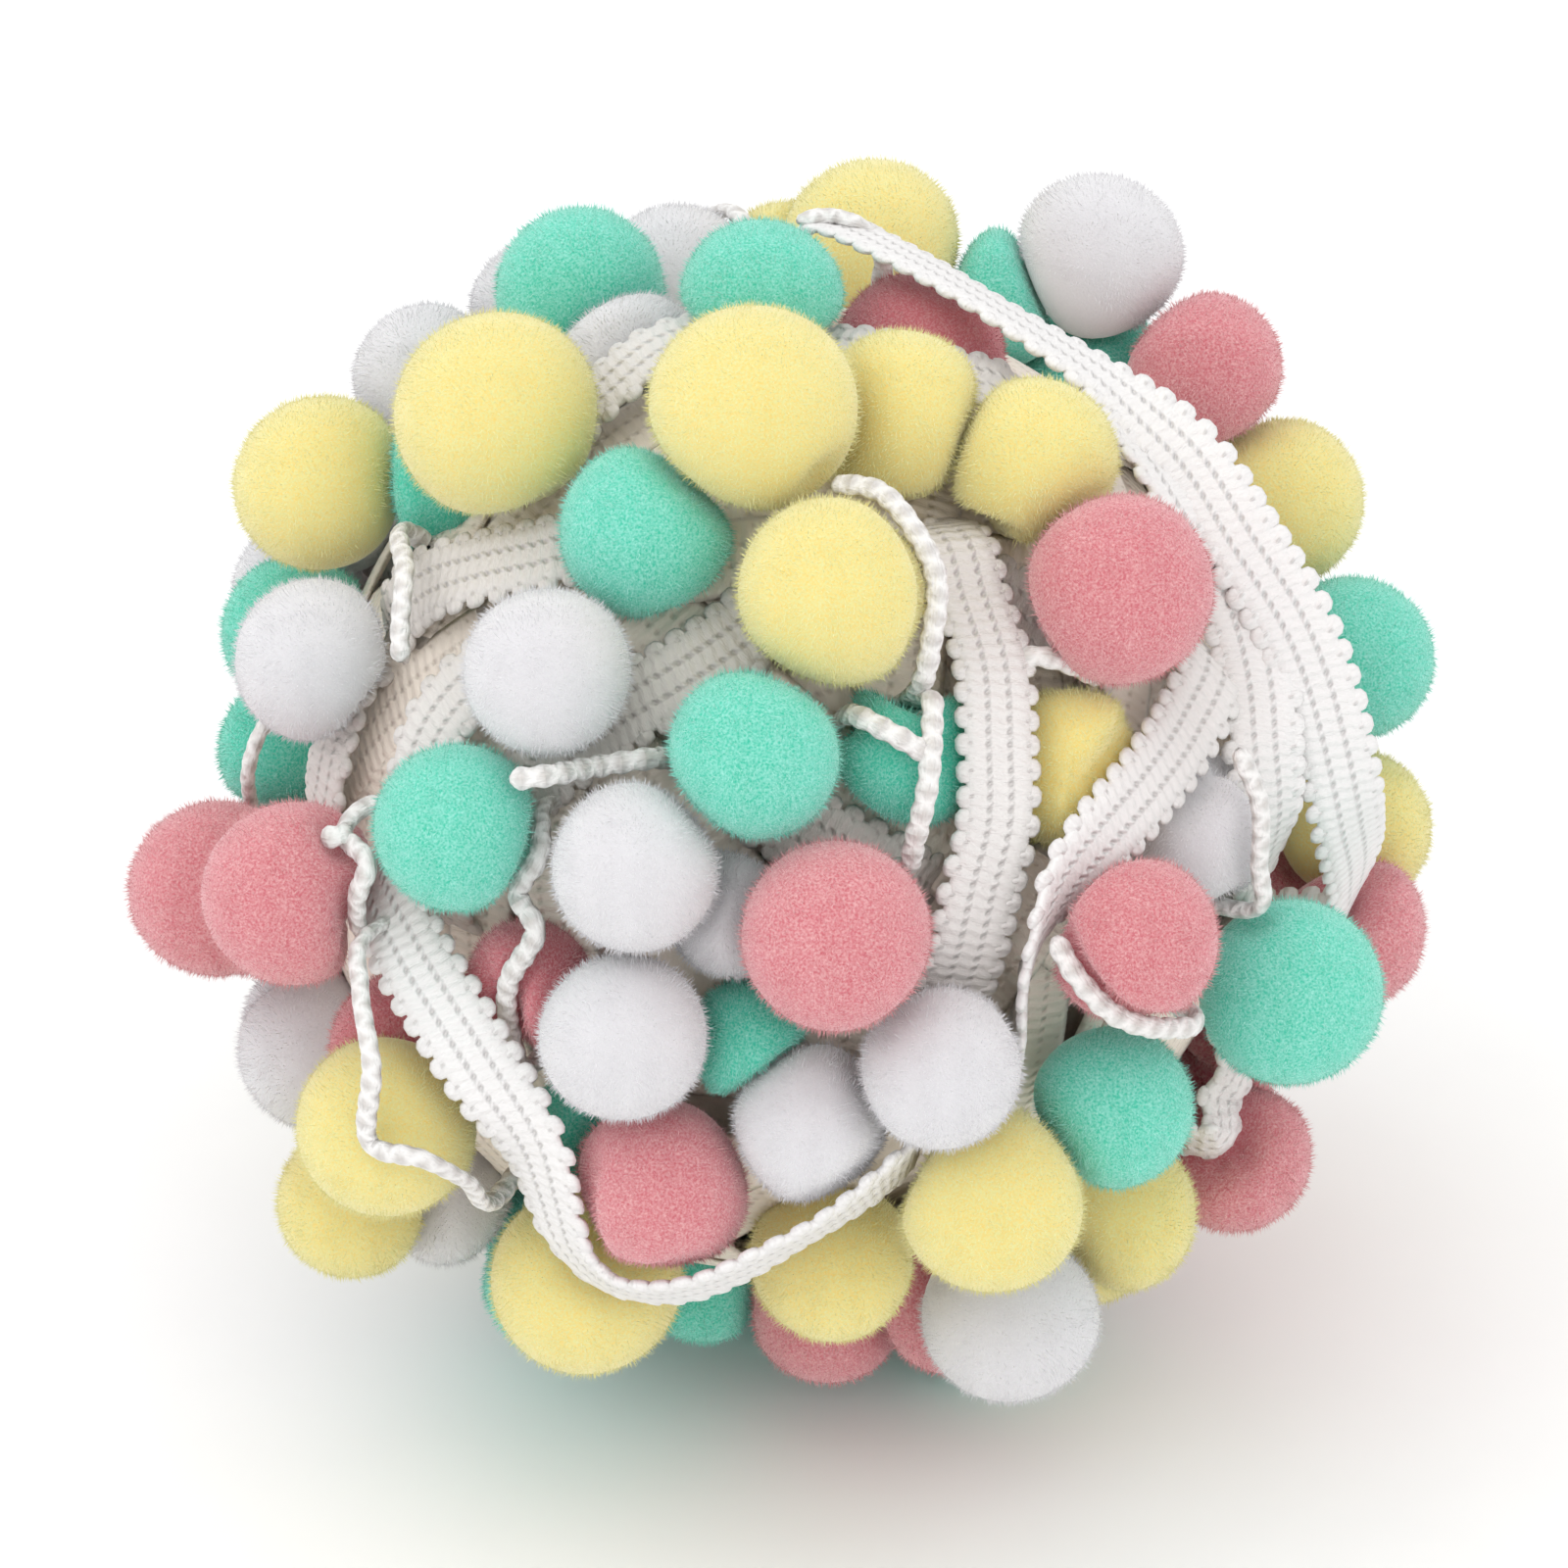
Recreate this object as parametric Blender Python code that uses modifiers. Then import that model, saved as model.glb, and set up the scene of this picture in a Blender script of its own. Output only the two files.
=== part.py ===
"""Pompom fringe trim: a picot tape with pompoms on V cords, wound by hand into a loose ball.

Metres, +Z up. The ball rests on z = 0 with its middle above the origin.

The tables below say where a piece shows to someone who looks down at the ball's middle at
VIEW_LIFT_DEG: millimetres across and up from the middle, and the shell on which it lies,
which is its distance from the middle. A minus shell is on the far side of the ball.
"""
import itertools
import math
from collections import namedtuple

import bmesh
import bpy
import numpy as np

MM = 0.001
COLLECTION_NAME = "pompom_fringe_trim"
HELPER_COLLECTION = "union_helpers"

# The view in which the tables are read.
VIEW_LIFT_DEG = 30.0
VIEW_DISTANCE = 0.900

# The ball.
BALL_MIDDLE = np.array((-0.0006, 0.0023, 0.0712))
CORE_RADIUS = 0.0500
CORE_RELIEF = 0.0012
CORE_TURNS = 7
CORE_TURN_TILTS_DEG = (35, 75, 115)
CORE_TURN_HALF_WIDTH = 0.0075
CORE_SUBDIVISIONS = 4
GAP = 0.0003

# The tape: woven band and the picot loops on both of its edges.
TAPE_WIDTH = 0.0100
TAPE_THICKNESS = 0.0012
TAPE_STEP = 0.0060
TAPE_DIVE = 0.0110

# The V cords.
CORD_RADIUS = 0.0011
CORD_STEP = 0.0055
ROOT_SHELL = 48.0
ROUTE_STEPS_PER_ROW = 24
WELD_DISTANCE = 1e-6

# The pompoms.
POMPOM_RADIUS = 0.0101
POMPOM_SUBDIVISIONS = 2
BOTTOM_SQUASH = 0.78
BOTTOM_REACH = 0.0152
LEAST_REACH_SHARE = 0.12

# The pompoms that the view doesn't show: how many places are tried on the whole ball, how far
# round towards the view they may come, and the least distances that they push apart to. Their
# places are rounded after each push, so that the last bits of a sum never grow into a shift.
FILL_POINTS = 170
FILL_SHELL = 0.0614
FILL_NEAR_LIMIT = -0.02
FILL_PITCH = 0.0172
FILL_START_SHARE = 0.8
FILL_SPREAD = 1.1
FILL_DIGITS = 6
TAPE_LANE = 0.0080
TAPE_LANE_KEPT_SHARE = 0.65
SETTLE_ROUNDS = 60
SPARE_COLOURS = ("pink", "mint", "white", "yellow")

# The roots that join neighbouring pompoms of one colour into a run.
RUN_LENGTH = 6
ROOT_RADIUS = 0.0008
ROOT_MARGIN = 0.0011
ROOT_LONGEST = 0.0280
ROOT_SAMPLES = 9

# The samples with which a pompom feels the tape and the cords that press on it.
PRESS_STEP = 0.0010
PRESS_MARGIN = 0.0004

COLOURS = {
    "mint": (0.150, 0.720, 0.500, 1.0),
    "yellow": (0.870, 0.810, 0.300, 1.0),
    "pink": (0.790, 0.270, 0.320, 1.0),
    "white": (0.900, 0.890, 0.900, 1.0),
    "tape": (0.930, 0.925, 0.920, 1.0),
}
PILE_ROUGHNESS = 0.95
TAPE_ROUGHNESS = 0.60

Seen = namedtuple("Seen", "colour across up shell width")
POMPOMS = [
    Seen(*row)
    for row in (
        ("yellow", 10, 60.5, -63, 23),
        ("mint", -23.5, 56.5, 62, 20),
        ("white", -12, 57.5, -61, 19),
        ("mint", -2.5, 55.5, 63, 19.5),
        ("white", 36, 60, -71, 20.5),
        ("mint", 25.5, 55.5, -62.5, 17),
        ("pink", 48, 47.5, -68, 19),
        ("pink", 15.5, 49, 54.5, 20.5),
        ("white", -18, 48, 54.5, 18.5),
        ("white", -40.5, 46, -62, 19),
        ("yellow", -33, 42.5, 67, 24.5),
        ("yellow", -53, 34.5, 65.5, 21),
        ("yellow", -3.5, 43, 69.5, 25),
        ("yellow", 13.5, 42, 62, 21),
        ("yellow", 28.5, 36.5, 64, 21),
        ("mint", -15.5, 29, 61, 21),
        ("yellow", 5.5, 22, 68, 23),
        ("pink", 38.5, 22.5, 68, 22.5),
        ("white", -27, 13, 66, 20),
        ("white", -53.5, 14, 62.5, 19.5),
        ("mint", -38, 35, 56, 19),
        ("mint", -55.5, 17.5, 57, 18.5),
        ("mint", -3.5, 3.5, 66.5, 20.5),
        ("mint", 14, 3.5, 57, 18.5),
        ("yellow", 32.5, 2, 57, 19.5),
        ("yellow", 56.5, 32.5, -66.5, 20.5),
        ("mint", 65, 14.5, -67, 19.5),
        ("yellow", 65.5, -5, -67, 18.5),
        ("mint", -37.5, -5, 66, 20),
        ("white", -17, -9.5, 66.5, 20.5),
        ("pink", 6, -17.5, 68, 23),
        ("pink", -65, -12, 66.5, 21),
        ("pink", -56, -12.5, 68, 22),
        ("pink", 40, -18, 68, 20.5),
        ("white", 47, -5, 58, 20),
        ("pink", 64, -16.5, -66, 19.5),
        ("mint", 58, -24, 69, 22),
        ("white", -18.5, -29, 66, 20),
        ("white", 3, -39, 62, 19.5),
        ("white", 18, -32.5, 67, 19.5),
        ("mint", 37.5, -37, 64, 19.5),
        ("pink", -14, -46, 64.5, 21),
        ("yellow", 23.5, -47.5, 67, 22.5),
        ("yellow", 38.5, -49.3, 62.5, 18.5),
        ("pink", 51.5, -42.5, -67.5, 18.5),
        ("white", 26, -60.8, 66.6, 21),
        ("yellow", 5.5, -54.5, 59, 19.5),
        ("pink", 5, -59, -60, 20),
        ("mint", -9, -56, -58, 17),
        ("yellow", -22.5, -57, 64, 22.5),
        ("white", -39, -47, 58, 17),
        ("yellow", -45.5, -39.5, 68, 21.5),
        ("yellow", -49.5, -48, 69, 18),
        ("white", -53.5, -30.5, -61.5, 19),
        ("pink", -42.5, -31, 57, 20),
        ("pink", -29, -23, 57, 16),
        ("mint", -56, 4, -57, 18.5),
        ("white", -6, -14.5, 57, 16),
        ("mint", -4, -29.5, 57, 15),
        ("mint", -22.5, -39.5, 56.5, 14),
    )
]

# Each tape route: across, up, shell and roll, the angle by which the tape turns about its own
# length from lying flat on the ball.
TAPES = {
    "tape_right_turn": (
        (1, 62, 63.5, 0), (5.5, 64, 66, -5), (14.5, 60, 66, -8), (24, 54.5, 66, -10),
        (35, 47.5, 66.5, 0), (41.5, 42, 67, 25), (47, 36.5, 67.5, 40), (52.5, 27.8, 68, 48),
        (57.8, 19.5, 68.5, 50), (61, 12, 68.5, 50), (63.3, 3.4, 68.5, 48), (64.7, -4, 68, 42),
        (65.3, -10.5, 66.5, 25), (62, -15.5, 62, 0),
    ),
    "tape_right_inner": (
        (33, 45, 63.5, -10), (40.5, 39, 65, -10), (45.5, 32.5, 65.5, 10), (50, 25.5, 65, 35),
        (53, 18, 64.5, 40), (54.5, 11, 64, 40), (55, 4, 64, 35), (55.5, -3.5, 63, 25),
        (54.5, -9.5, 60, 10), (53, -13.5, 57, 0),
    ),
    "tape_centre": (
        (19, 28.5, 60, 0), (21.5, 21.5, 61, 0), (24, 13.5, 62, 0), (24.5, 4.5, 62.5, 0),
        (24.5, -4.5, 62.5, 0), (22.5, -12.5, 62, 0), (21, -19, 61, 0), (18.5, -26, 58, 0),
        (17.5, -32.5, 56, 0),
    ),
    "tape_centre_under": (
        (11, 27, 56, 0), (18, 25.5, 56.5, 0), (23.5, 22.5, 57, 0), (30.5, 18.5, 57, 0),
        (37, 15.5, 56.5, 0),
    ),
    "tape_centre_low": (
        (-4, -1, 55, 0), (2, -5, 56, 0), (8.5, -8.5, 56.5, 0), (14.5, -12, 56, 0),
    ),
    "tape_slanting": (
        (49, 14.5, 60.5, 10), (46.3, 6.8, 61.5, 10), (42, 0.4, 63, 5), (36.6, -5.9, 64.5, 0),
        (32.4, -11, 65, -20), (29.8, -16.3, 64.5, -45), (27.6, -22.3, 62, -60),
        (26.7, -29, 58, -60),
    ),
    "tape_left_top": (
        (-22.5, 27, 57, 0), (-29, 26, 58.5, 0), (-36, 24.5, 59, 0), (-41.5, 22.5, 58.5, -10),
        (-44.5, 18, 56.5, -10),
    ),
    "tape_left": (
        (-23.5, 17, 55.5, 0), (-30.5, 15, 57.5, 0), (-37.5, 10, 59.5, 0), (-41.5, 3, 60, 0),
        (-41.5, -5, 59, 0), (-40.5, -12.5, 56.5, 0),
    ),
    "tape_front_loop": (
        (-46.5, -10, 60, -15), (-43.3, -18.5, 64, -35), (-38.8, -26, 66, -35),
        (-34, -33.5, 67, -30), (-29, -40.8, 67.5, 0), (-26.8, -47, 68, 18), (-24.7, -53, 69, 24),
        (-20, -57.2, 70, 20), (-13.8, -58.3, 71, 24), (-7.3, -56.7, 71, 32), (-0.5, -53.2, 70, 36),
        (5.5, -49.8, 68.5, 36), (11.5, -45.2, 66, 30), (15, -41, 62, 20),
    ),
    "tape_shadow": (
        (-28.5, 1, 56, 0), (-20, 7.5, 57, 0), (-12.5, 12, 57, 0), (-5, 17, 56, 0),
        (0, 21.5, 55.5, 0),
    ),
    "tape_top": (
        (-1, 49, 57, 0), (5.5, 50, 60, 0), (13, 49, 61, 0), (20, 47, 61, 0), (26.5, 44, 60, 0),
    ),
    "tape_top_left": (
        (-24, 40.5, 57, 0), (-19.5, 46, 60, 0), (-13.5, 50.5, 61, 0), (-6.5, 51, 59, 0),
    ),
    "tape_low_right": (
        (51.5, -31.5, 57.5, 20), (50, -36, 61, 30), (48.5, -41, 59, 20),
    ),
    "tape_left_rim": (
        (-48, 12.5, 56.5, 0), (-51, 6.5, 58, 0), (-52.5, 0, 58.5, 0), (-52.5, -5.5, 56.5, 0),
    ),
    "tape_right_outer": (
        (44.5, 41, 61.5, 0), (48, 37.5, 61.5, 0), (54, 27, 61.5, 0), (57.5, 16.5, 61, 0),
        (58.5, 6, 60.5, 0), (56.5, -4, 59, 0), (52, -12, 56, 0),
    ),
    "tape_top_back": (
        (-36, 41, -60, 0), (-26, 48.5, -61, 0), (-13, 52, -61, 0), (1, 52.5, -61, 0),
        (14, 50, -61, 0), (26, 45, -60.5, 0), (36, 38, -60, 0),
    ),
    "tape_back_long": (
        (39, -42, -60, 0), (17, -39, -60, 0), (-4.5, -20, -59, 0), (-18, 2, -59, 0),
        (-22.5, 25, -60, 0), (-20, 38, -61, 0),
    ),
    "tape_back_turn": (
        (-56, 11, -60, 0), (-39.5, 0, -62, 0), (-18, -4.5, -64, 0), (5.5, -5.5, -64, 0),
        (28, 0, -63, 0), (50.5, 11, -61, 0), (59.5, 18, -60, 0),
    ),
    "tape_back_high": (
        (-47, 31.5, -60, 0), (-27, 40.5, -62, 0), (-11, 42.5, -63, 0), (9, 40.5, -63, 0),
        (28, 33.5, -62, 0), (42.5, 22.5, -61, 0),
    ),
}

# Each cord: the ends that go down into the wound form, and its route: across, up and shell.
CORDS = {
    "cord_over_yellow": (("last",), (
        (5.5, 34.5, 69), (11, 33.5, 71), (15, 29, 72), (17.5, 23.5, 71.5), (17, 17, 69),
        (15.5, 11, 64),
    )),
    "cord_mint_left": (("first",), (
        (7.5, 8, 64), (12, 6, 67.5), (15.5, 4, 67), (17, 3, 66),
    )),
    "cord_mint_right": (("first", "last"), (
        (16.5, 10, 64), (17, 7, 66.5), (16.5, 0, 67), (15, -6.5, 65), (14, -9.5, 61),
    )),
    "cord_between_whites": (("last",), (
        (-31.5, 0.5, 70), (-27, 1, 68), (-21.5, 2, 63), (-14.5, 3, 60),
    )),
    "cord_pink_left": (("first", "last"), (
        (-46.5, -2, 61), (-50.5, -5.5, 66), (-47.8, -9, 68), (-49, -13.5, 67.5), (-47.2, -17.5, 63),
    )),
    "cord_hanging": (("first", "last"), (
        (-47.5, -17, 66), (-48.6, -23.5, 71), (-47.3, -32.5, 75), (-47.6, -41, 76.5),
        (-41.5, -43, 75.5), (-36.5, -45.5, 71.5), (-33, -47.5, 66),
    )),
    "cord_left_of_whites": (("first", "last"), (
        (-27.5, -2.5, 59), (-28, -8, 63), (-30.5, -12.5, 63), (-28.5, -17, 63.5),
        (-31.5, -22.5, 63), (-31.5, -27.5, 61), (-29.5, -32.5, 59),
    )),
    "cord_right": (("last",), (
        (52, 4, 70), (54.5, -2, 70), (54.5, -9, 68.5), (53.5, -14.5, 66),
    )),
    "cord_over_pink": (("last",), (
        (31, -17.5, 67), (33.5, -22, 69.5), (38, -26.5, 71.5), (43.5, -28, 72), (46.8, -26.5, 69),
    )),
    "cord_left_top": (("first",), (
        (-43.5, 29, 61), (-43.5, 24.5, 64), (-44, 18.5, 64), (-44, 14, 63.5),
    )),
}

lift = math.radians(VIEW_LIFT_DEG)
ACROSS = np.array((1.0, 0.0, 0.0))
UP = np.array((0.0, math.sin(lift), math.cos(lift)))
TOWARD = np.array((0.0, -math.cos(lift), math.sin(lift)))

Pompom = namedtuple("Pompom", "colour middle radius")


def unit(vectors):
    """The vectors at length 1, along the last axis."""
    return vectors / np.linalg.norm(vectors, axis=-1, keepdims=True)


def on_shell(across, up, shell):
    """The point where the line of sight through (across, up) meets the shell, and the scale
    there. A line of sight that misses the shell gives its point nearest the middle."""
    reach = VIEW_DISTANCE**2
    span = (across * MM) ** 2 + (up * MM) ** 2 + reach
    room = max(0.0, reach**2 - span * (reach - (shell * MM) ** 2))
    scale = (reach - math.copysign(math.sqrt(room), shell)) / span
    point = across * MM * scale * ACROSS + up * MM * scale * UP
    return BALL_MIDDLE + point + VIEW_DISTANCE * (1.0 - scale) * TOWARD, scale


def smooth_route(rows, step):
    """Points about one step apart on the smooth curve (Catmull-Rom) through the rows."""
    rows = np.asarray(rows, float)
    padded = np.vstack([2 * rows[0] - rows[1], rows, 2 * rows[-1] - rows[-2]])
    t = np.linspace(0.0, 1.0, ROUTE_STEPS_PER_ROW, endpoint=False)[:, None]
    pieces = []
    for before, start, end, after in zip(padded, padded[1:], padded[2:], padded[3:]):
        bend = 2 * before - 5 * start + 4 * end - after
        twist = 3 * start - before - 3 * end + after
        pieces.append(start + 0.5 * ((end - before) * t + bend * t**2 + twist * t**3))
    fine = np.vstack(pieces + [padded[-2:-1]])
    along = np.append(0.0, np.cumsum(np.linalg.norm(np.diff(fine[:, :3], axis=0), axis=1)))
    count = max(3, round(along[-1] / step)) + 1
    stations = np.linspace(0.0, along[-1], count)
    return np.column_stack([np.interp(stations, along, column) for column in fine.T])


def buried_end(end, inner):
    """Where a tape goes on past its last shown place, down into the wound form."""
    onward = end[:3] + unit(end[:3] - inner[:3]) * TAPE_DIVE - BALL_MIDDLE
    return np.append(BALL_MIDDLE + unit(onward) * ROOT_SHELL * MM, end[3])


def tape_edges(name, step):
    """The tape's two edges at each station along its route."""
    rows = [np.append(on_shell(*row[:3])[0], row[3]) for row in TAPES[name]]
    rows = [buried_end(rows[0], rows[1])] + rows + [buried_end(rows[-1], rows[-2])]
    route = smooth_route(rows, step)
    points, roll = route[:, :3], np.radians(route[:, 3:])
    along = unit(np.gradient(points, axis=0))
    outward = unit(points - BALL_MIDDLE)
    sideways = unit(np.cross(along, outward))
    outward = np.cross(sideways, along)
    sideways = sideways * np.cos(roll) - outward * np.sin(roll)
    return points - sideways * TAPE_WIDTH / 2, points + sideways * TAPE_WIDTH / 2


def cord_route(name, step):
    """Points along a cord, with a root straight down from each end that has one."""
    roots, rows = CORDS[name]
    points = [on_shell(*row)[0] for row in rows]
    if "first" in roots:
        points.insert(0, BALL_MIDDLE + unit(points[0] - BALL_MIDDLE) * ROOT_SHELL * MM)
    if "last" in roots:
        points.append(BALL_MIDDLE + unit(points[-1] - BALL_MIDDLE) * ROOT_SHELL * MM)
    return smooth_route(points, step)


def pressing_points():
    """Samples of every tape and cord, and how far a pompom keeps from each."""
    samples, clearances = [], []
    share = np.linspace(0.0, 1.0, round(TAPE_WIDTH / PRESS_STEP) + 1)[:, None, None]
    for name in TAPES:
        left, right = tape_edges(name, PRESS_STEP)
        samples.append((left * (1 - share) + right * share).reshape(-1, 3))
        clearances.append(np.full(len(samples[-1]), TAPE_THICKNESS / 2 + GAP + PRESS_MARGIN))
    for name in CORDS:
        samples.append(cord_route(name, PRESS_STEP))
        clearances.append(np.full(len(samples[-1]), CORD_RADIUS + GAP + PRESS_MARGIN / 2))
    return np.vstack(samples), np.concatenate(clearances)


def seen_pompoms():
    """The pompoms of the table, at the places where they show."""
    pompoms = []
    for seen in POMPOMS:
        middle, scale = on_shell(seen.across, seen.up, seen.shell)
        pompoms.append(Pompom(seen.colour, middle, seen.width * MM * scale / 2))
    return pompoms


def settled(middle):
    """A pompom under the ball is pressed down until it is squashed on the surface."""
    pressed = BOTTOM_SQUASH * POMPOM_RADIUS
    if middle[2] < BOTTOM_REACH:
        return np.array((middle[0], middle[1], pressed))
    return middle


def pushed_from(apart, wanted):
    """The push along each vector that is shorter than the wanted distance, but not along the
    zero vector from a pompom to itself."""
    distance = np.linalg.norm(apart, axis=-1, keepdims=True)
    short = np.clip(wanted - distance, 0.0, None)
    return np.where(distance > WELD_DISTANCE, apart / np.maximum(distance, WELD_DISTANCE) * short, 0.0)


def far_pompoms(seen, samples):
    """Evenly spread pompoms for the far side and the underside, which the view doesn't show.
    They start on a spiral, keep clear of the seen ones and of the tape, and push apart."""
    turn = math.pi * (3.0 - math.sqrt(5.0))
    fixed = np.array([pompom.middle for pompom in seen])
    under = BALL_MIDDLE * (1, 1, 0) + (0, 0, BOTTOM_SQUASH * POMPOM_RADIUS)
    free = []
    for index in range(FILL_POINTS):
        height = 1.0 - (2 * index + 1) / FILL_POINTS
        ring = math.sqrt(1.0 - height**2)
        heading = np.array((ring * math.cos(index * turn), ring * math.sin(index * turn), height))
        middle = BALL_MIDDLE + FILL_SHELL * heading
        others = np.vstack([fixed, [under]])
        nearest = np.linalg.norm(others - middle, axis=1).min()
        if heading @ TOWARD < FILL_NEAR_LIMIT and nearest > FILL_PITCH * FILL_START_SHARE:
            free.append(middle)
    free = np.array(free)
    for _ in range(SETTLE_ROUNDS):
        nearest = samples[np.linalg.norm(free[:, None] - samples, axis=2).argmin(axis=1)]
        push = pushed_from(free - nearest, TAPE_LANE)
        push += pushed_from(free - under, FILL_PITCH) / 2
        push += pushed_from(free[:, None] - fixed, FILL_PITCH).sum(axis=1) / 2
        push += pushed_from(free[:, None] - free, FILL_PITCH * FILL_SPREAD).sum(axis=1) / 2
        free = np.round(BALL_MIDDLE + FILL_SHELL * unit(free + push / 2 - BALL_MIDDLE), FILL_DIGITS)
    lanes = np.linalg.norm(free[:, None] - samples, axis=2).min(axis=1)
    kept = free[lanes > TAPE_LANE * TAPE_LANE_KEPT_SHARE]
    middles = [under] + [settled(middle) for middle in kept]
    return [Pompom(None, middle, POMPOM_RADIUS) for middle in middles]


def press_planes(index, pompoms, samples, clearances):
    """The planes that squash one pompom, as outward normals and distances from its middle:
    towards its neighbours, the tape and cords, the wound form and the surface below."""
    own = pompoms[index]
    normals, distances = [(0.0, 0.0, -1.0)], [own.middle[2]]
    for other in pompoms[:index] + pompoms[index + 1:]:
        apart = other.middle - own.middle
        length = np.linalg.norm(apart)
        if length < own.radius + other.radius + GAP:
            share = (length**2 + own.radius**2 - other.radius**2) / (2 * length)
            normals.append(apart / length)
            distances.append(share - GAP / 2)
    inward = BALL_MIDDLE - own.middle
    normals.append(unit(inward))
    distances.append(np.linalg.norm(inward) - CORE_RADIUS - CORE_RELIEF - GAP)
    apart = samples - own.middle
    length = np.linalg.norm(apart, axis=1)
    near = length < own.radius + clearances
    normals.extend(apart[near] / length[near, None])
    distances.extend(length[near] - clearances[near])
    return np.array(normals), np.maximum(np.array(distances), own.radius * LEAST_REACH_SHARE)


def pompom_shape(bm, pompom, planes):
    """A round ball of pile whose points stop at the planes that press on it."""
    normals, distances = planes
    made = bmesh.ops.create_icosphere(bm, subdivisions=POMPOM_SUBDIVISIONS, radius=1.0)
    for vert in made["verts"]:
        direction = unit(np.array(vert.co))
        facing = np.maximum(normals @ direction, 1e-6)
        vert.co = pompom.middle + direction * min(pompom.radius, (distances / facing).min())


def can_root(pompoms, first, second, samples):
    """Whether a straight root between two pompoms keeps clear of all the others."""
    a, b = pompoms[first].middle, pompoms[second].middle
    length = np.linalg.norm(b - a)
    if length > ROOT_LONGEST:
        return False
    share = (length**2 + pompoms[first].radius**2 - pompoms[second].radius**2) / (2 * length**2)
    waist = a + (b - a) * share
    for index, other in enumerate(pompoms):
        if index in (first, second):
            continue
        for near in (pompoms[first], pompoms[second]):
            apart = other.middle - near.middle
            side = np.linalg.norm(apart)
            plane = (side**2 + near.radius**2 - other.radius**2) / (2 * side)
            if plane - (waist - near.middle) @ apart / side < ROOT_MARGIN:
                return False
    along = np.clip(((samples - a) @ (b - a)) / length**2, 0.0, 1.0)
    nearest = np.linalg.norm(samples - a - along[:, None] * (b - a), axis=1).min()
    middles = a + (b - a) * np.linspace(0.0, 1.0, ROOT_SAMPLES)[:, None]
    depth = np.linalg.norm(middles - BALL_MIDDLE, axis=1).min() - CORE_RADIUS - CORE_RELIEF
    return nearest > CORD_RADIUS + ROOT_MARGIN and depth > ROOT_MARGIN


def pompom_runs(pompoms, samples):
    """Runs of neighbouring pompoms of one colour, with the pairs that a root joins. A pompom
    with no colour yet takes the colour of the run that it joins."""
    pairs = [
        (np.linalg.norm(pompoms[a].middle - pompoms[b].middle), a, b)
        for a, b in itertools.combinations(range(len(pompoms)), 2)
    ]
    pairs = sorted(pair for pair in pairs if pair[0] < ROOT_LONGEST)
    run_of = list(range(len(pompoms)))
    runs = {index: [index] for index in run_of}
    roots = {index: [] for index in run_of}
    colour = {index: pompoms[index].colour for index in run_of}
    for _, a, b in pairs:
        first, second = run_of[a], run_of[b]
        known = {colour[first], colour[second]} - {None}
        size = len(runs[first]) + len(runs[second])
        if first == second or len(known) > 1 or size > RUN_LENGTH:
            continue
        if not can_root(pompoms, a, b, samples):
            continue
        runs[first] += runs.pop(second)
        roots[first] += roots.pop(second) + [(a, b)]
        colour[first] = known.pop() if known else None
        for index in runs[first]:
            run_of[index] = first
    spare = itertools.cycle(SPARE_COLOURS)
    return [(colour[key] or next(spare), runs[key], roots[key]) for key in sorted(runs)]


def new_object(name, mesh, collection, material=None):
    obj = bpy.data.objects.new(name, mesh)
    collection.objects.link(obj)
    if material:
        mesh.materials.append(material)
    return obj


def mesh_from(bm, name):
    mesh = bpy.data.meshes.new(name)
    bm.to_mesh(mesh)
    bm.free()
    return mesh


def strand_mesh(name, points, radius, scene_collection):
    """A four-sided strand along the points, closed at both ends."""
    curve = bpy.data.curves.new(name, "CURVE")
    curve.dimensions = "3D"
    curve.bevel_depth = radius
    curve.bevel_resolution = 0
    curve.use_fill_caps = True
    spline = curve.splines.new("POLY")
    spline.points.add(len(points) - 1)
    spline.points.foreach_set("co", np.column_stack([points, np.ones(len(points))]).ravel())
    guide = bpy.data.objects.new(name, curve)
    scene_collection.objects.link(guide)
    graph = bpy.context.evaluated_depsgraph_get()
    mesh = bpy.data.meshes.new_from_object(guide.evaluated_get(graph))
    bpy.data.objects.remove(guide)
    bm = bmesh.new()
    bm.from_mesh(mesh)
    bmesh.ops.remove_doubles(bm, verts=bm.verts, dist=WELD_DISTANCE)
    bmesh.ops.recalc_face_normals(bm, faces=bm.faces)
    bm.to_mesh(mesh)
    bm.free()
    return mesh


def helper_group(name, helpers):
    """A collection for the solids that a union takes in."""
    group = bpy.data.collections.new(name)
    helpers.children.link(group)
    return group


def add_union(obj, group):
    union = obj.modifiers.new("union", "BOOLEAN")
    union.operation = "UNION"
    union.operand_type = "COLLECTION"
    union.collection = group
    union.solver = "EXACT"


def add_helper(name, mesh, group):
    """A solid that a union takes in."""
    obj = new_object(name, mesh, group)
    obj.hide_render = True
    obj.display_type = "WIRE"
    return obj


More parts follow.
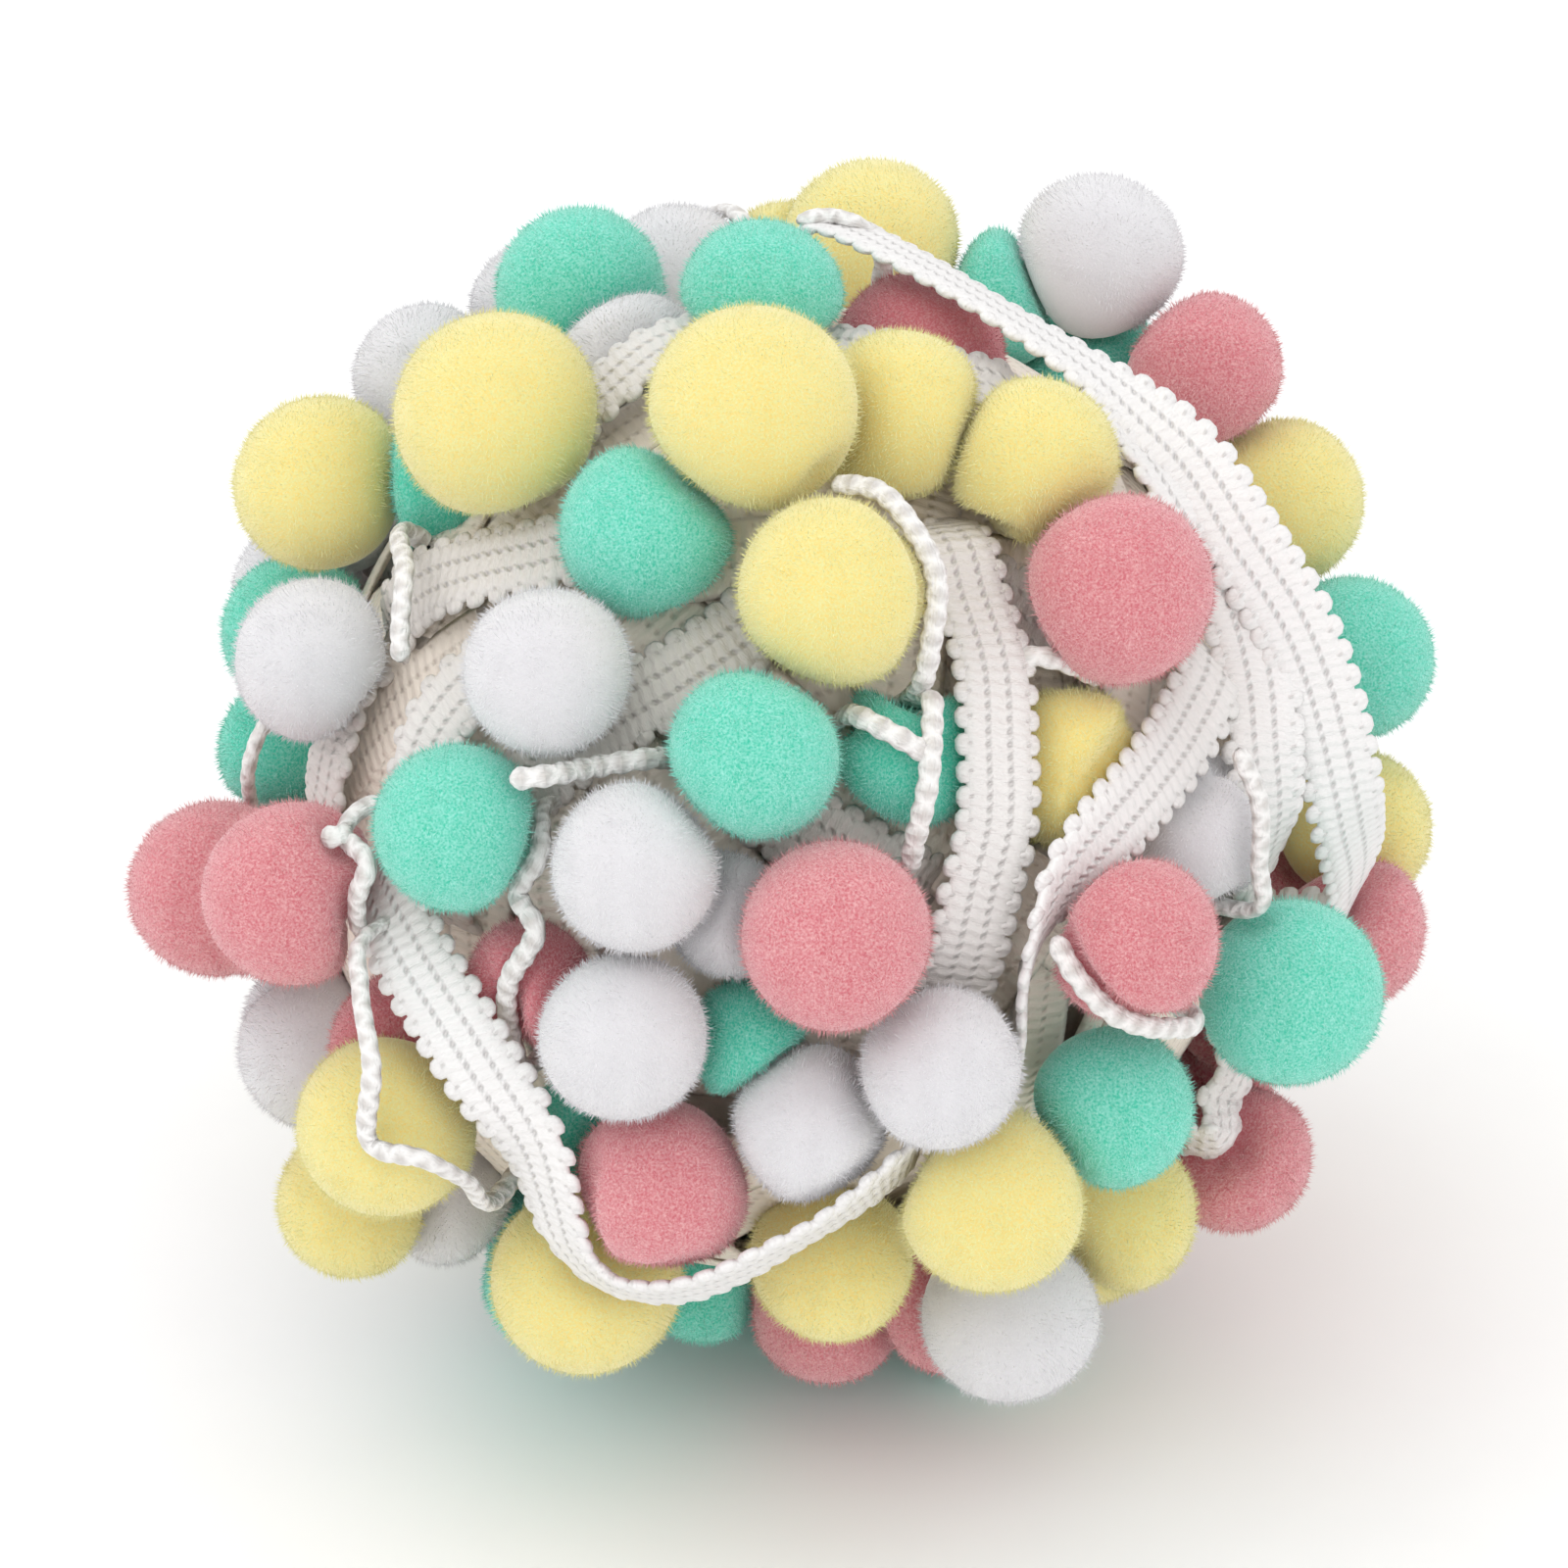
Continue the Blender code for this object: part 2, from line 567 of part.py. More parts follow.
def build_wound_trim(collection, helpers, material):
    """The wound mass of tape: a ball with raised turns, with the bands of tape that show and
    the cords, both rooted in it."""
    bm = bmesh.new()
    bmesh.ops.create_icosphere(bm, subdivisions=CORE_SUBDIVISIONS, radius=1.0)
    turns = []
    for index in range(CORE_TURNS):
        angle = index * math.pi / CORE_TURNS
        tilt = math.radians(CORE_TURN_TILTS_DEG[index % len(CORE_TURN_TILTS_DEG)])
        level = math.sin(tilt)
        turns.append((math.cos(angle) * level, math.sin(angle) * level, math.cos(tilt)))
    for vert in bm.verts:
        direction = unit(np.array(vert.co))
        away = np.abs(np.array(turns) @ direction).min() * CORE_RADIUS
        raised = 0.5 + 0.5 * math.cos(math.pi * min(1.0, away / CORE_TURN_HALF_WIDTH))
        vert.co = BALL_MIDDLE + direction * (CORE_RADIUS + CORE_RELIEF * raised)
    obj = new_object("wound_trim", mesh_from(bm, "wound_trim"), collection, material)
    group = helper_group("tapes_and_cords", helpers)
    for name in TAPES:
        add_tape(name, group)
    for name in CORDS:
        mesh = strand_mesh(name, cord_route(name, CORD_STEP), CORD_RADIUS, collection)
        add_helper(name, mesh, group)
    add_union(obj, group)


def add_tape(name, group):
    """One band of tape: a strip of quads on its route, given its thickness."""
    left, right = tape_edges(name, TAPE_STEP)
    bm = bmesh.new()
    bmesh.ops.create_grid(bm, x_segments=1, y_segments=len(left) - 1, size=0.5)
    order = sorted(bm.verts, key=lambda vert: (round(vert.co.y, 6), vert.co.x))
    for vert, point in zip(order, np.stack([left, right], axis=1).reshape(-1, 3)):
        vert.co = point
    obj = add_helper(name, mesh_from(bm, name), group)
    solidify = obj.modifiers.new("thickness", "SOLIDIFY")
    solidify.thickness = TAPE_THICKNESS
    solidify.offset = 0.0


def build_run(name, run, roots, pompoms, planes, collection, helpers, material):
    """A run of pompoms of one colour that a narrow root joins."""
    bm = bmesh.new()
    for index in run:
        pompom_shape(bm, pompoms[index], planes[index])
    mesh = mesh_from(bm, name)
    mesh.shade_smooth()
    obj = new_object(name, mesh, collection, material)
    if roots:
        group = helper_group(name + "_roots", helpers)
        for number, (a, b) in enumerate(roots):
            ends = np.array((pompoms[a].middle, pompoms[b].middle))
            mesh = strand_mesh(f"{name}_root_{number}", ends, ROOT_RADIUS, collection)
            add_helper(f"{name}_root_{number}", mesh, group)
        add_union(obj, group)


def make_material(name, colour, roughness):
    material = bpy.data.materials.new(name)
    material.use_nodes = True
    shader = material.node_tree.nodes["Principled BSDF"]
    shader.inputs["Base Color"].default_value = colour
    shader.inputs["Roughness"].default_value = roughness
    shader.inputs["Metallic"].default_value = 0.0
    return material


def main():
    for obj in list(bpy.data.objects):
        bpy.data.objects.remove(obj)
    collection = bpy.data.collections.new(COLLECTION_NAME)
    helpers = bpy.data.collections.new(HELPER_COLLECTION)
    bpy.context.scene.collection.children.link(collection)
    bpy.context.scene.collection.children.link(helpers)
    helpers.hide_render = True
    materials = {
        name: make_material(name, colour, TAPE_ROUGHNESS if name == "tape" else PILE_ROUGHNESS)
        for name, colour in COLOURS.items()
    }

    build_wound_trim(collection, helpers, materials["tape"])
    samples, clearances = pressing_points()
    seen = seen_pompoms()
    pompoms = seen + far_pompoms(seen, samples)
    planes = [press_planes(index, pompoms, samples, clearances) for index in range(len(pompoms))]
    numbers = dict.fromkeys(COLOURS, 0)
    for colour, run, roots in pompom_runs(pompoms, samples):
        numbers[colour] += 1
        name = f"pompoms_{colour}_{numbers[colour]:02d}"
        build_run(name, run, roots, pompoms, planes, collection, helpers, materials[colour])


main()
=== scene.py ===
import math
from collections import namedtuple

import bpy
import numpy as np
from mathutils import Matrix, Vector


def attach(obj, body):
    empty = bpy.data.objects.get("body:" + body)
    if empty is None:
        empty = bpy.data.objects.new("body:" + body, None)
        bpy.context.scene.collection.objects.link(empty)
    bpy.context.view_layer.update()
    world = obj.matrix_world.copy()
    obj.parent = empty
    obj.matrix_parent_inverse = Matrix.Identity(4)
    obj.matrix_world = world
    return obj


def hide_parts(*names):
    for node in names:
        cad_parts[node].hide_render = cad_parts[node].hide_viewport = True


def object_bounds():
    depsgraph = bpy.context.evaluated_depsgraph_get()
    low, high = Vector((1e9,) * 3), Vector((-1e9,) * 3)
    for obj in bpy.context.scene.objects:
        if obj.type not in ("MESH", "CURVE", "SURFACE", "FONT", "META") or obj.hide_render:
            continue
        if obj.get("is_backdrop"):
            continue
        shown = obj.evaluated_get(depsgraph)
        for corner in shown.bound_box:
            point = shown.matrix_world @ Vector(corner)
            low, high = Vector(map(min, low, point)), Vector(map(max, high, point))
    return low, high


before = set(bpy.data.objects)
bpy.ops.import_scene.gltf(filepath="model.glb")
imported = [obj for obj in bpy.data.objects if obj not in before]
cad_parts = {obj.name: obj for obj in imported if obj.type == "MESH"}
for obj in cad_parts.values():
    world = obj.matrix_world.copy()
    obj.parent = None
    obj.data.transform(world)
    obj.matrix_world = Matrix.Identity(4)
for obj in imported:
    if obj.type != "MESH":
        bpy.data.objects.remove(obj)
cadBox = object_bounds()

mm = 0.001

# The tables say where a piece shows from the front: mm across and up from the ball's middle,
# and its shell, the distance from the middle (minus on the far side).
view = {
    "liftDeg": 30.0,
    "distance": 0.900,
    "pixel": 0.1124 * mm,  # one pixel of the 1600 pixel frame, at the ball's middle
    "frame": 1600,
}
ball = {
    "middle": np.array((-0.0006, 0.0023, 0.0712)),
    "coreRadius": 0.0500,
    "coreRelief": 0.0012,
    "coreSquares": 24,
    "coreSwell": 0.0005,
    "gap": 0.0003,
    "rootShell": 48.0,
}
tape = {
    "width": 0.0100,
    "thickness": 0.0012,
    "dive": 0.0110,        # how far a band goes on before its end turns down into the ball
    "rib": 0.00140,        # one weft rib; two ribs to a picot
    "ribHeight": 0.00007,
    "bodyHalf": 0.0039,    # the knitted body without its picots
    "edge": 0.35,          # mm that the body's rim takes to thin out
    "underEdge": 0.2,      # the same on the under side
    "columns": (1.25, 3.45),  # stitch columns, mm on both sides of the middle line
    "pit": 0.00008,        # how deep a stitch pulls the groove in
    "hiddenShell": 0.0495,  # a band is left out where it is deeper than this
}
picot = {"along": 0.00139, "across": 0.00150, "thick": 0.00062, "from": 0.00362, "full": 0.84,
         "ring": 10, "rows": 4, "swell": 0.06}
cord = {"radius": 0.0011, "around": 12, "step": 0.00046, "plait": 0.0024, "relief": 0.10,
        "flat": (1.20, 0.80)}  # a flat braid: wider than it is thick
# painted shade: surfaces darken from the upper shell down to the wound form; tone is a deep
# pompom's share
shade = {"form": 52.0, "bands": 66.0, "pompoms": 60.0, "tone": 0.7}  # shells, and its strength

Seen = namedtuple("Seen", "colour across up shell width")
seenPompoms = [
    Seen(*row)
    for row in (
        ("yellow", 10, 60.5, -63, 23), ("mint", -23.5, 56.5, 62, 20),
        ("white", -12, 57.5, -61, 19), ("mint", -2.5, 55.5, 63, 19.5),
        ("white", 36, 60, -71, 20.5), ("mint", 25.5, 55.5, -62.5, 17),
        ("pink", 48, 47.5, -68, 19), ("pink", 15.5, 49, 54.5, 20.5),
        ("white", -18, 48, 54.5, 18.5), ("white", -40.5, 46, -62, 19),
        ("yellow", -33, 42.5, 67, 24.5), ("yellow", -53, 34.5, 65.5, 21),
        ("yellow", -3.5, 43, 69.5, 25), ("yellow", 13.5, 42, 62, 21),
        ("yellow", 28.5, 36.5, 64, 21), ("mint", -15.5, 29, 61, 21), ("yellow", 5.5, 22, 68, 23),
        ("pink", 38.5, 22.5, 68, 22.5), ("white", -27, 13, 66, 20),
        ("white", -53.5, 14, 62.5, 19.5), ("mint", -38, 35, 56, 19),
        ("mint", -55.5, 17.5, 57, 18.5), ("mint", -3.5, 3.5, 66.5, 20.5),
        ("mint", 14, 3.5, 57, 18.5), ("yellow", 32.5, 2, 57, 19.5),
        ("yellow", 56.5, 32.5, -66.5, 20.5), ("mint", 65, 14.5, -67, 19.5),
        ("yellow", 65.5, -5, -67, 18.5), ("mint", -37.5, -5, 66, 20),
        ("white", -17, -9.5, 66.5, 20.5), ("pink", 6, -17.5, 68, 23),
        ("pink", -65, -12, 66.5, 21), ("pink", -56, -12.5, 68, 22), ("pink", 40, -18, 68, 20.5),
        ("white", 47, -5, 58, 20), ("pink", 64, -16.5, -66, 19.5), ("mint", 58, -24, 69, 22),
        ("white", -18.5, -29, 66, 20), ("white", 3, -39, 62, 19.5),
        ("white", 18, -32.5, 67, 19.5), ("mint", 37.5, -37, 64, 19.5),
        ("pink", -14, -46, 64.5, 21), ("yellow", 23.5, -47.5, 67, 22.5),
        ("yellow", 38.5, -49.3, 62.5, 18.5), ("pink", 51.5, -42.5, -67.5, 18.5),
        ("white", 26, -60.8, 66.6, 21), ("yellow", 5.5, -54.5, 59, 19.5),
        ("pink", 5, -59, -60, 20), ("mint", -9, -56, -58, 17), ("yellow", -22.5, -57, 64, 22.5),
        ("white", -39, -47, 58, 17), ("yellow", -45.5, -39.5, 68, 21.5),
        ("yellow", -49.5, -48, 69, 18), ("white", -53.5, -30.5, -61.5, 19),
        ("pink", -42.5, -31, 57, 20), ("pink", -29, -23, 57, 16), ("mint", -56, 4, -57, 18.5),
        ("white", -6, -14.5, 57, 16), ("mint", -4, -29.5, 57, 15),
        ("mint", -22.5, -39.5, 56.5, 14),
    )
]

# Each band of tape: across, up, shell and, where it isn't none, roll, the angle by which it
# turns about its length.
tapeRoutes = {
    "rightTurn": (
        (1, 62, 63.5), (5.5, 64, 66, -5), (14.5, 60, 66, -8), (24, 54.5, 66, -10),
        (35, 47.5, 66.5), (41.5, 42, 67, 25), (47, 36.5, 67.5, 40), (52.5, 27.8, 68, 48),
        (57.8, 19.5, 68.5, 50), (61, 12, 68.5, 50), (63.3, 3.4, 68.5, 48), (64.7, -4, 68, 42),
        (65.3, -10.5, 66.5, 25), (62, -15.5, 62),
    ),
    "rightInner": (
        (33, 45, 63.5, -10), (40.5, 39, 65, -10), (45.5, 32.5, 65.5, 10), (50, 25.5, 65, 35),
        (53, 18, 64.5, 40), (54.5, 11, 64, 40), (55, 4, 64, 35), (55.5, -3.5, 63, 25),
        (54.5, -9.5, 60, 10), (53, -13.5, 57),
    ),
    "centre": (
        (19, 28.5, 60), (21.5, 21.5, 61), (24, 13.5, 62), (24.5, 4.5, 62.5), (24.5, -4.5, 62.5),
        (22.5, -12.5, 62), (21, -19, 61), (18.5, -26, 58), (17.5, -32.5, 56),
    ),
    "centreUnder": (
        (11, 27, 56), (18, 25.5, 56.5), (23.5, 22.5, 57), (30.5, 18.5, 57), (37, 15.5, 56.5),
    ),
    "centreLow": (
        (-4, -1, 55), (2, -5, 56), (8.5, -8.5, 56.5), (14.5, -12, 56),
    ),
    "slanting": (
        (49, 14.5, 60.5, 10), (46.3, 6.8, 61.5, 10), (42, 0.4, 63, 5), (36.6, -5.9, 64.5),
        (32.4, -11, 65, -20), (29.8, -16.3, 64.5, -45), (27.6, -22.3, 62, -60),
        (26.7, -29, 58, -60),
    ),
    "leftTop": (
        (-22.5, 27, 57), (-29, 26, 58.5), (-36, 24.5, 59), (-41.5, 22.5, 58.5, -10),
        (-44.5, 18, 56.5, -10),
    ),
    "left": (
        (-23.5, 17, 55.5), (-30.5, 15, 57.5), (-37.5, 10, 59.5), (-41.5, 3, 60), (-41.5, -5, 59),
        (-40.5, -12.5, 56.5),
    ),
    "frontLoop": (
        (-46.5, -10, 60, -15), (-43.3, -18.5, 64, -35), (-38.8, -26, 66, -35),
        (-34, -33.5, 67, -30), (-29, -40.8, 67.5), (-26.8, -47, 68, 18), (-24.7, -53, 69, 24),
        (-20, -57.2, 70, 20), (-13.8, -58.3, 71, 24), (-7.3, -56.7, 71, 32),
        (-0.5, -53.2, 70, 36), (5.5, -49.8, 68.5, 36), (11.5, -45.2, 66, 30), (15, -41, 62, 20),
    ),
    "shadow": (
        (-28.5, 1, 56), (-20, 7.5, 57), (-12.5, 12, 57), (-5, 17, 56), (0, 21.5, 55.5),
    ),
    "top": (
        (-1, 49, 57), (5.5, 50, 60), (13, 49, 61), (20, 47, 61), (26.5, 44, 60),
    ),
    "topLeft": (
        (-24, 40.5, 57), (-19.5, 46, 60), (-13.5, 50.5, 61), (-6.5, 51, 59),
    ),
    "lowRight": (
        (51.5, -31.5, 57.5, 20), (50, -36, 61, 30), (48.5, -41, 59, 20),
    ),
    "leftRim": (
        (-48, 12.5, 56.5), (-51, 6.5, 58), (-52.5, 0, 58.5), (-52.5, -5.5, 56.5),
    ),
    "rightOuter": (
        (44.5, 41, 61.5), (48, 37.5, 61.5), (54, 27, 61.5), (57.5, 16.5, 61), (58.5, 6, 60.5),
        (56.5, -4, 59), (52, -12, 56),
    ),
    "topBack": (
        (-36, 41, -60), (-26, 48.5, -61), (-13, 52, -61), (1, 52.5, -61), (14, 50, -61),
        (26, 45, -60.5), (36, 38, -60),
    ),
    "backLong": (
        (39, -42, -60), (17, -39, -60), (-4.5, -20, -59), (-18, 2, -59), (-22.5, 25, -60),
        (-20, 38, -61),
    ),
    "backTurn": (
        (-56, 11, -60), (-39.5, 0, -62), (-18, -4.5, -64), (5.5, -5.5, -64), (28, 0, -63),
        (50.5, 11, -61), (59.5, 18, -60),
    ),
    "backHigh": (
        (-47, 31.5, -60), (-27, 40.5, -62), (-11, 42.5, -63), (9, 40.5, -63), (28, 33.5, -62),
        (42.5, 22.5, -61),
    ),
}

# Each cord: the ends that go down into the ball, and its route: across, up and shell.
cordRoutes = {
    "overYellow": (("last",), (
        (5.5, 34.5, 69), (11, 33.5, 71), (15, 29, 72), (17.5, 23.5, 71.5), (17, 17, 69),
        (15.5, 11, 64),
    )),
    "mintLeft": (("first",), (
        (7.5, 8, 64), (12, 6, 67.5), (15.5, 4, 67), (17, 3, 66),
    )),
    "mintRight": (("first", "last"), (
        (16.5, 10, 64), (17, 7, 66.5), (16.5, 0, 67), (15, -6.5, 65), (14, -9.5, 61),
    )),
    "betweenWhites": (("last",), (
        (-31.5, 0.5, 70), (-27, 1, 68), (-21.5, 2, 63), (-14.5, 3, 60),
    )),
    "pinkLeft": (("first", "last"), (
        (-46.5, -2, 61), (-50.5, -5.5, 66), (-47.8, -9, 68), (-49, -13.5, 67.5), (-47.2, -17.5, 63),
    )),
    "hanging": (("first", "last"), (
        (-47.5, -17, 66), (-48.6, -23.5, 71), (-47.3, -32.5, 75), (-47.6, -41, 76.5),
        (-41.5, -43, 75.5), (-36.5, -45.5, 71.5), (-33, -47.5, 66),
    )),
    "leftOfWhites": (("first", "last"), (
        (-27.5, -2.5, 59), (-28, -8, 63), (-30.5, -12.5, 63), (-28.5, -17, 63.5),
        (-31.5, -22.5, 63), (-31.5, -27.5, 61), (-29.5, -32.5, 59),
    )),
    "right": (("last",), (
        (52, 4, 70), (54.5, -2, 70), (54.5, -9, 68.5), (53.5, -14.5, 66),
    )),
    "overPink": (("last",), (
        (31, -17.5, 67), (33.5, -22, 69.5), (38, -26.5, 71.5), (43.5, -28, 72), (46.8, -26.5, 69),
    )),
    "leftTop": (("first",), (
        (-43.5, 29, 61), (-43.5, 24.5, 64), (-44, 18.5, 64), (-44, 14, 63.5),
    )),
}

# Thin cords that lie on the tape and the pompoms and need no solid of their own.
fineCords = {
    "topStart": (("last",), ((1.5, 64.5, 67), (5, 65.2, 67.5), (9, 64, 66.5), (11.5, 60.5, 62))),
    "leftEdge": ((), ((-58.5, 8.5, 60), (-60.5, 5, 61.5), (-61.5, 1, 62), (-61, -3, 61))),
    "pinkLeftTip": ((), ((-49.5, -5.5, 66.8), (-51.5, -6, 68.3), (-53, -6.2, 68.8))),
    "shortRight": (("first",), (
        (26.5, 14, 60), (29.5, 14.6, 63), (33.5, 13.5, 63.5), (36, 12, 62),
    )),
}

lift = math.radians(view["liftDeg"])
across3 = np.array((1.0, 0.0, 0.0))
up3 = np.array((0.0, math.sin(lift), math.cos(lift)))
toward3 = np.array((0.0, -math.cos(lift), math.sin(lift)))

Pompom = namedtuple("Pompom", "colour middle radius")
pressing = {"step": 0.0010, "margin": 0.0004, "leastShare": 0.12}
filling = {
    "radius": 0.0101, "points": 170, "shell": 0.0614, "nearLimit": -0.02, "pitch": 0.0172,
    "startShare": 0.8, "spread": 1.1, "lane": 0.0080, "laneKept": 0.65, "rounds": 60,
    "squash": 0.78, "reach": 0.0152,
}
curveSteps = 24  # short lines between two rows of a route


def unit(vectors):  # each vector over its length
    return vectors / np.linalg.norm(vectors, axis=-1, keepdims=True)


# The point where the line of sight through (across, up) meets the shell: the root of a
# quadratic in the share of the way back from the camera. Past the shell, its nearest point.
def onShell(across, up, shell):
    reach = view["distance"] ** 2
    span = (across * mm) ** 2 + (up * mm) ** 2 + reach
    room = max(0.0, reach**2 - span * (reach - (shell * mm) ** 2))
    scale = (reach - math.copysign(math.sqrt(room), shell)) / span
    point = across * mm * scale * across3 + up * mm * scale * up3
    return ball["middle"] + point + view["distance"] * (1.0 - scale) * toward3, scale


# A Catmull-Rom curve through the rows: start + half of (slope t + bend t^2 + twist t^3), then
# read off again at the stations, which are lengths along it.
def smoothRoute(rows, step=None, stations=None):
    rows = np.asarray(rows, float)
    padded = np.vstack([2 * rows[0] - rows[1], rows, 2 * rows[-1] - rows[-2]])
    t = np.linspace(0.0, 1.0, curveSteps, endpoint=False)[:, None]
    pieces = []
    for before, start, end, after in zip(padded, padded[1:], padded[2:], padded[3:]):
        bend = 2 * before - 5 * start + 4 * end - after
        twist = 3 * start - before - 3 * end + after
        pieces.append(start + 0.5 * ((end - before) * t + bend * t**2 + twist * t**3))
    fine = np.vstack(pieces + [padded[-2:-1]])
    along = np.append(0.0, np.cumsum(np.linalg.norm(np.diff(fine[:, :3], axis=0), axis=1)))
    if stations is None:
        stations = np.linspace(0.0, along[-1], max(3, round(along[-1] / step)) + 1)
    else:
        stations = stations(along[-1])
    return np.column_stack([np.interp(stations, along, column) for column in fine.T]), stations


def rootOf(point):  # straight down from the point to the root shell
    return ball["middle"] + unit(point - ball["middle"]) * ball["rootShell"] * mm


def buriedEnd(end, inner):  # on past the last place, then down to the root shell
    return np.append(rootOf(end[:3] + unit(end[:3] - inner[:3]) * tape["dive"]), end[3])


# The frame of a band: its middle line, the way across it and the way out of its face, turned
# about its length by the roll.
def bandFrame(rows, step=None, stations=None):
    rows = [np.append(onShell(*row[:3])[0], row[3:] or 0.0) for row in rows]
    rows = [buriedEnd(rows[0], rows[1])] + rows + [buriedEnd(rows[-1], rows[-2])]
    route, stations = smoothRoute(rows, step, stations)
    points, roll = route[:, :3], np.radians(route[:, 3:])
    along = unit(np.gradient(points, axis=0))
    outward = unit(points - ball["middle"])
    sideways = unit(np.cross(along, outward))
    outward = np.cross(sideways, along)
    turned = sideways * np.cos(roll) - outward * np.sin(roll)
    return points, turned, np.cross(turned, along), stations


def cordPoints(roots, rows, step):  # the route, with a root straight down from a rooted end
    points = [onShell(*row)[0] for row in rows]
    if "first" in roots:
        points.insert(0, rootOf(points[0]))
    if "last" in roots:
        points.append(rootOf(points[-1]))
    return smoothRoute(points, step)[0]


def pressingPoints():  # samples of every band and cord, and how far the pile keeps from each
    samples, clearances = [], []
    share = np.linspace(-0.5, 0.5, round(tape["width"] / pressing["step"]) + 1)[:, None, None]
    for rows in tapeRoutes.values():
        points, sideways, _, _ = bandFrame(rows, pressing["step"])
        samples.append((points + sideways * tape["width"] * share).reshape(-1, 3))
        room = tape["thickness"] / 2 + ball["gap"] + pressing["margin"]
        clearances.append(np.full(len(samples[-1]), room))
    for roots, rows in cordRoutes.values():
        samples.append(cordPoints(roots, rows, pressing["step"]))
        room = cord["radius"] + ball["gap"] + pressing["margin"] / 2
        clearances.append(np.full(len(samples[-1]), room))
    return np.vstack(samples), np.concatenate(clearances)


def pushedFrom(apart, wanted):  # along each vector that is shorter than the wanted distance
    distance = np.linalg.norm(apart, axis=-1, keepdims=True)
    short = np.clip(wanted - distance, 0.0, None)
    return np.where(distance > 1e-6, apart / np.maximum(distance, 1e-6) * short, 0.0)


def evenDirections(count):  # a golden spiral from pole to pole
    height = 1 - (2 * np.arange(count) + 1) / count
    turn = np.arange(count) * math.pi * (3 - math.sqrt(5))
    ring = np.sqrt(1 - height**2)
    return np.column_stack([ring * np.cos(turn), ring * np.sin(turn), height])


# The pompoms of the far side: places on a golden spiral round the ball that push apart, and
# away from the tape and from the pompoms of the table.
def farPompoms(seen, samples):
    pressed = filling["squash"] * filling["radius"]
    fixed = np.array([pompom.middle for pompom in seen])
    under = ball["middle"] * (1, 1, 0) + (0, 0, pressed)
    free = []
    for heading in evenDirections(filling["points"]):
        middle = ball["middle"] + filling["shell"] * heading
        nearest = np.linalg.norm(np.vstack([fixed, [under]]) - middle, axis=1).min()
        roomy = nearest > filling["pitch"] * filling["startShare"]
        if heading @ toward3 < filling["nearLimit"] and roomy:
            free.append(middle)
    free = np.array(free)
    for _ in range(filling["rounds"]):
        nearest = samples[np.linalg.norm(free[:, None] - samples, axis=2).argmin(axis=1)]
        push = pushedFrom(free - nearest, filling["lane"])
        push += pushedFrom(free - under, filling["pitch"]) / 2
        push += pushedFrom(free[:, None] - fixed, filling["pitch"]).sum(axis=1) / 2
        wanted = filling["pitch"] * filling["spread"]
        push += pushedFrom(free[:, None] - free, wanted).sum(axis=1) / 2
        free = ball["middle"] + filling["shell"] * unit(free + push / 2 - ball["middle"])
        free = np.round(free, 6)
    lanes = np.linalg.norm(free[:, None] - samples, axis=2).min(axis=1)
    free = free[lanes > filling["lane"] * filling["laneKept"]]
    free[:, 2] = np.where(free[:, 2] < filling["reach"], pressed, free[:, 2])
    return [Pompom(None, middle, filling["radius"]) for middle in np.vstack([[under], free])]


def placedPompoms(samples):  # all of them, each in the colour of the solid that it replaces
    seen = []
    for row in seenPompoms:
        middle, scale = onShell(row.across, row.up, row.shell)
        seen.append(Pompom(row.colour, middle, row.width * mm * scale / 2))
    solids = {}
    for name in pompomNodes:
        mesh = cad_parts[name].data
        points = np.empty(len(mesh.vertices) * 3)
        mesh.vertices.foreach_get("co", points)
        solids[name] = points.reshape(-1, 3)
    placed = []
    for pompom in seen + farPompoms(seen, samples):
        inside = {
            name: (np.linalg.norm(points - pompom.middle, axis=1) < pompom.radius * 1.02).sum()
            for name, points in solids.items()
        }
        owner = max(inside, key=inside.get)
        placed.append(pompom._replace(colour=pompom.colour or owner.split("_")[1]))
    return placed


def linear(hexColour):  # sRGB hex to the linear colour that the shader reads
    values = [int(hexColour[i:i + 2], 16) / 255 for i in (1, 3, 5)]
    return [v / 12.92 if v <= 0.04045 else ((v + 0.055) / 1.055) ** 2.4 for v in values] + [1.0]


# One node, its values and what feeds it, where a node stands for its first output. A kind of
# two words gives the operation as well.
def addNode(tree, kind, settings=None, links=None):
    kind, _, operation = kind.partition(" ")
    node = tree.nodes.new("ShaderNode" + kind)
    if operation:
        node.operation = operation
    for key, value in (settings or {}).items():
        if isinstance(key, str) and hasattr(node, key):
            setattr(node, key, value)
        else:
            node.inputs[key].default_value = value
    for key, source in (links or {}).items():
        tree.links.new(getattr(source, "outputs", [source])[0], node.inputs[key])
    return node


def newMaterial(name):
    material = bpy.data.materials.new(name)
    material.use_nodes = True
    material.node_tree.nodes.clear()
    return material, material.node_tree


def finishMaterial(tree, shader):
    addNode(tree, "OutputMaterial", {}, {"Surface": shader})
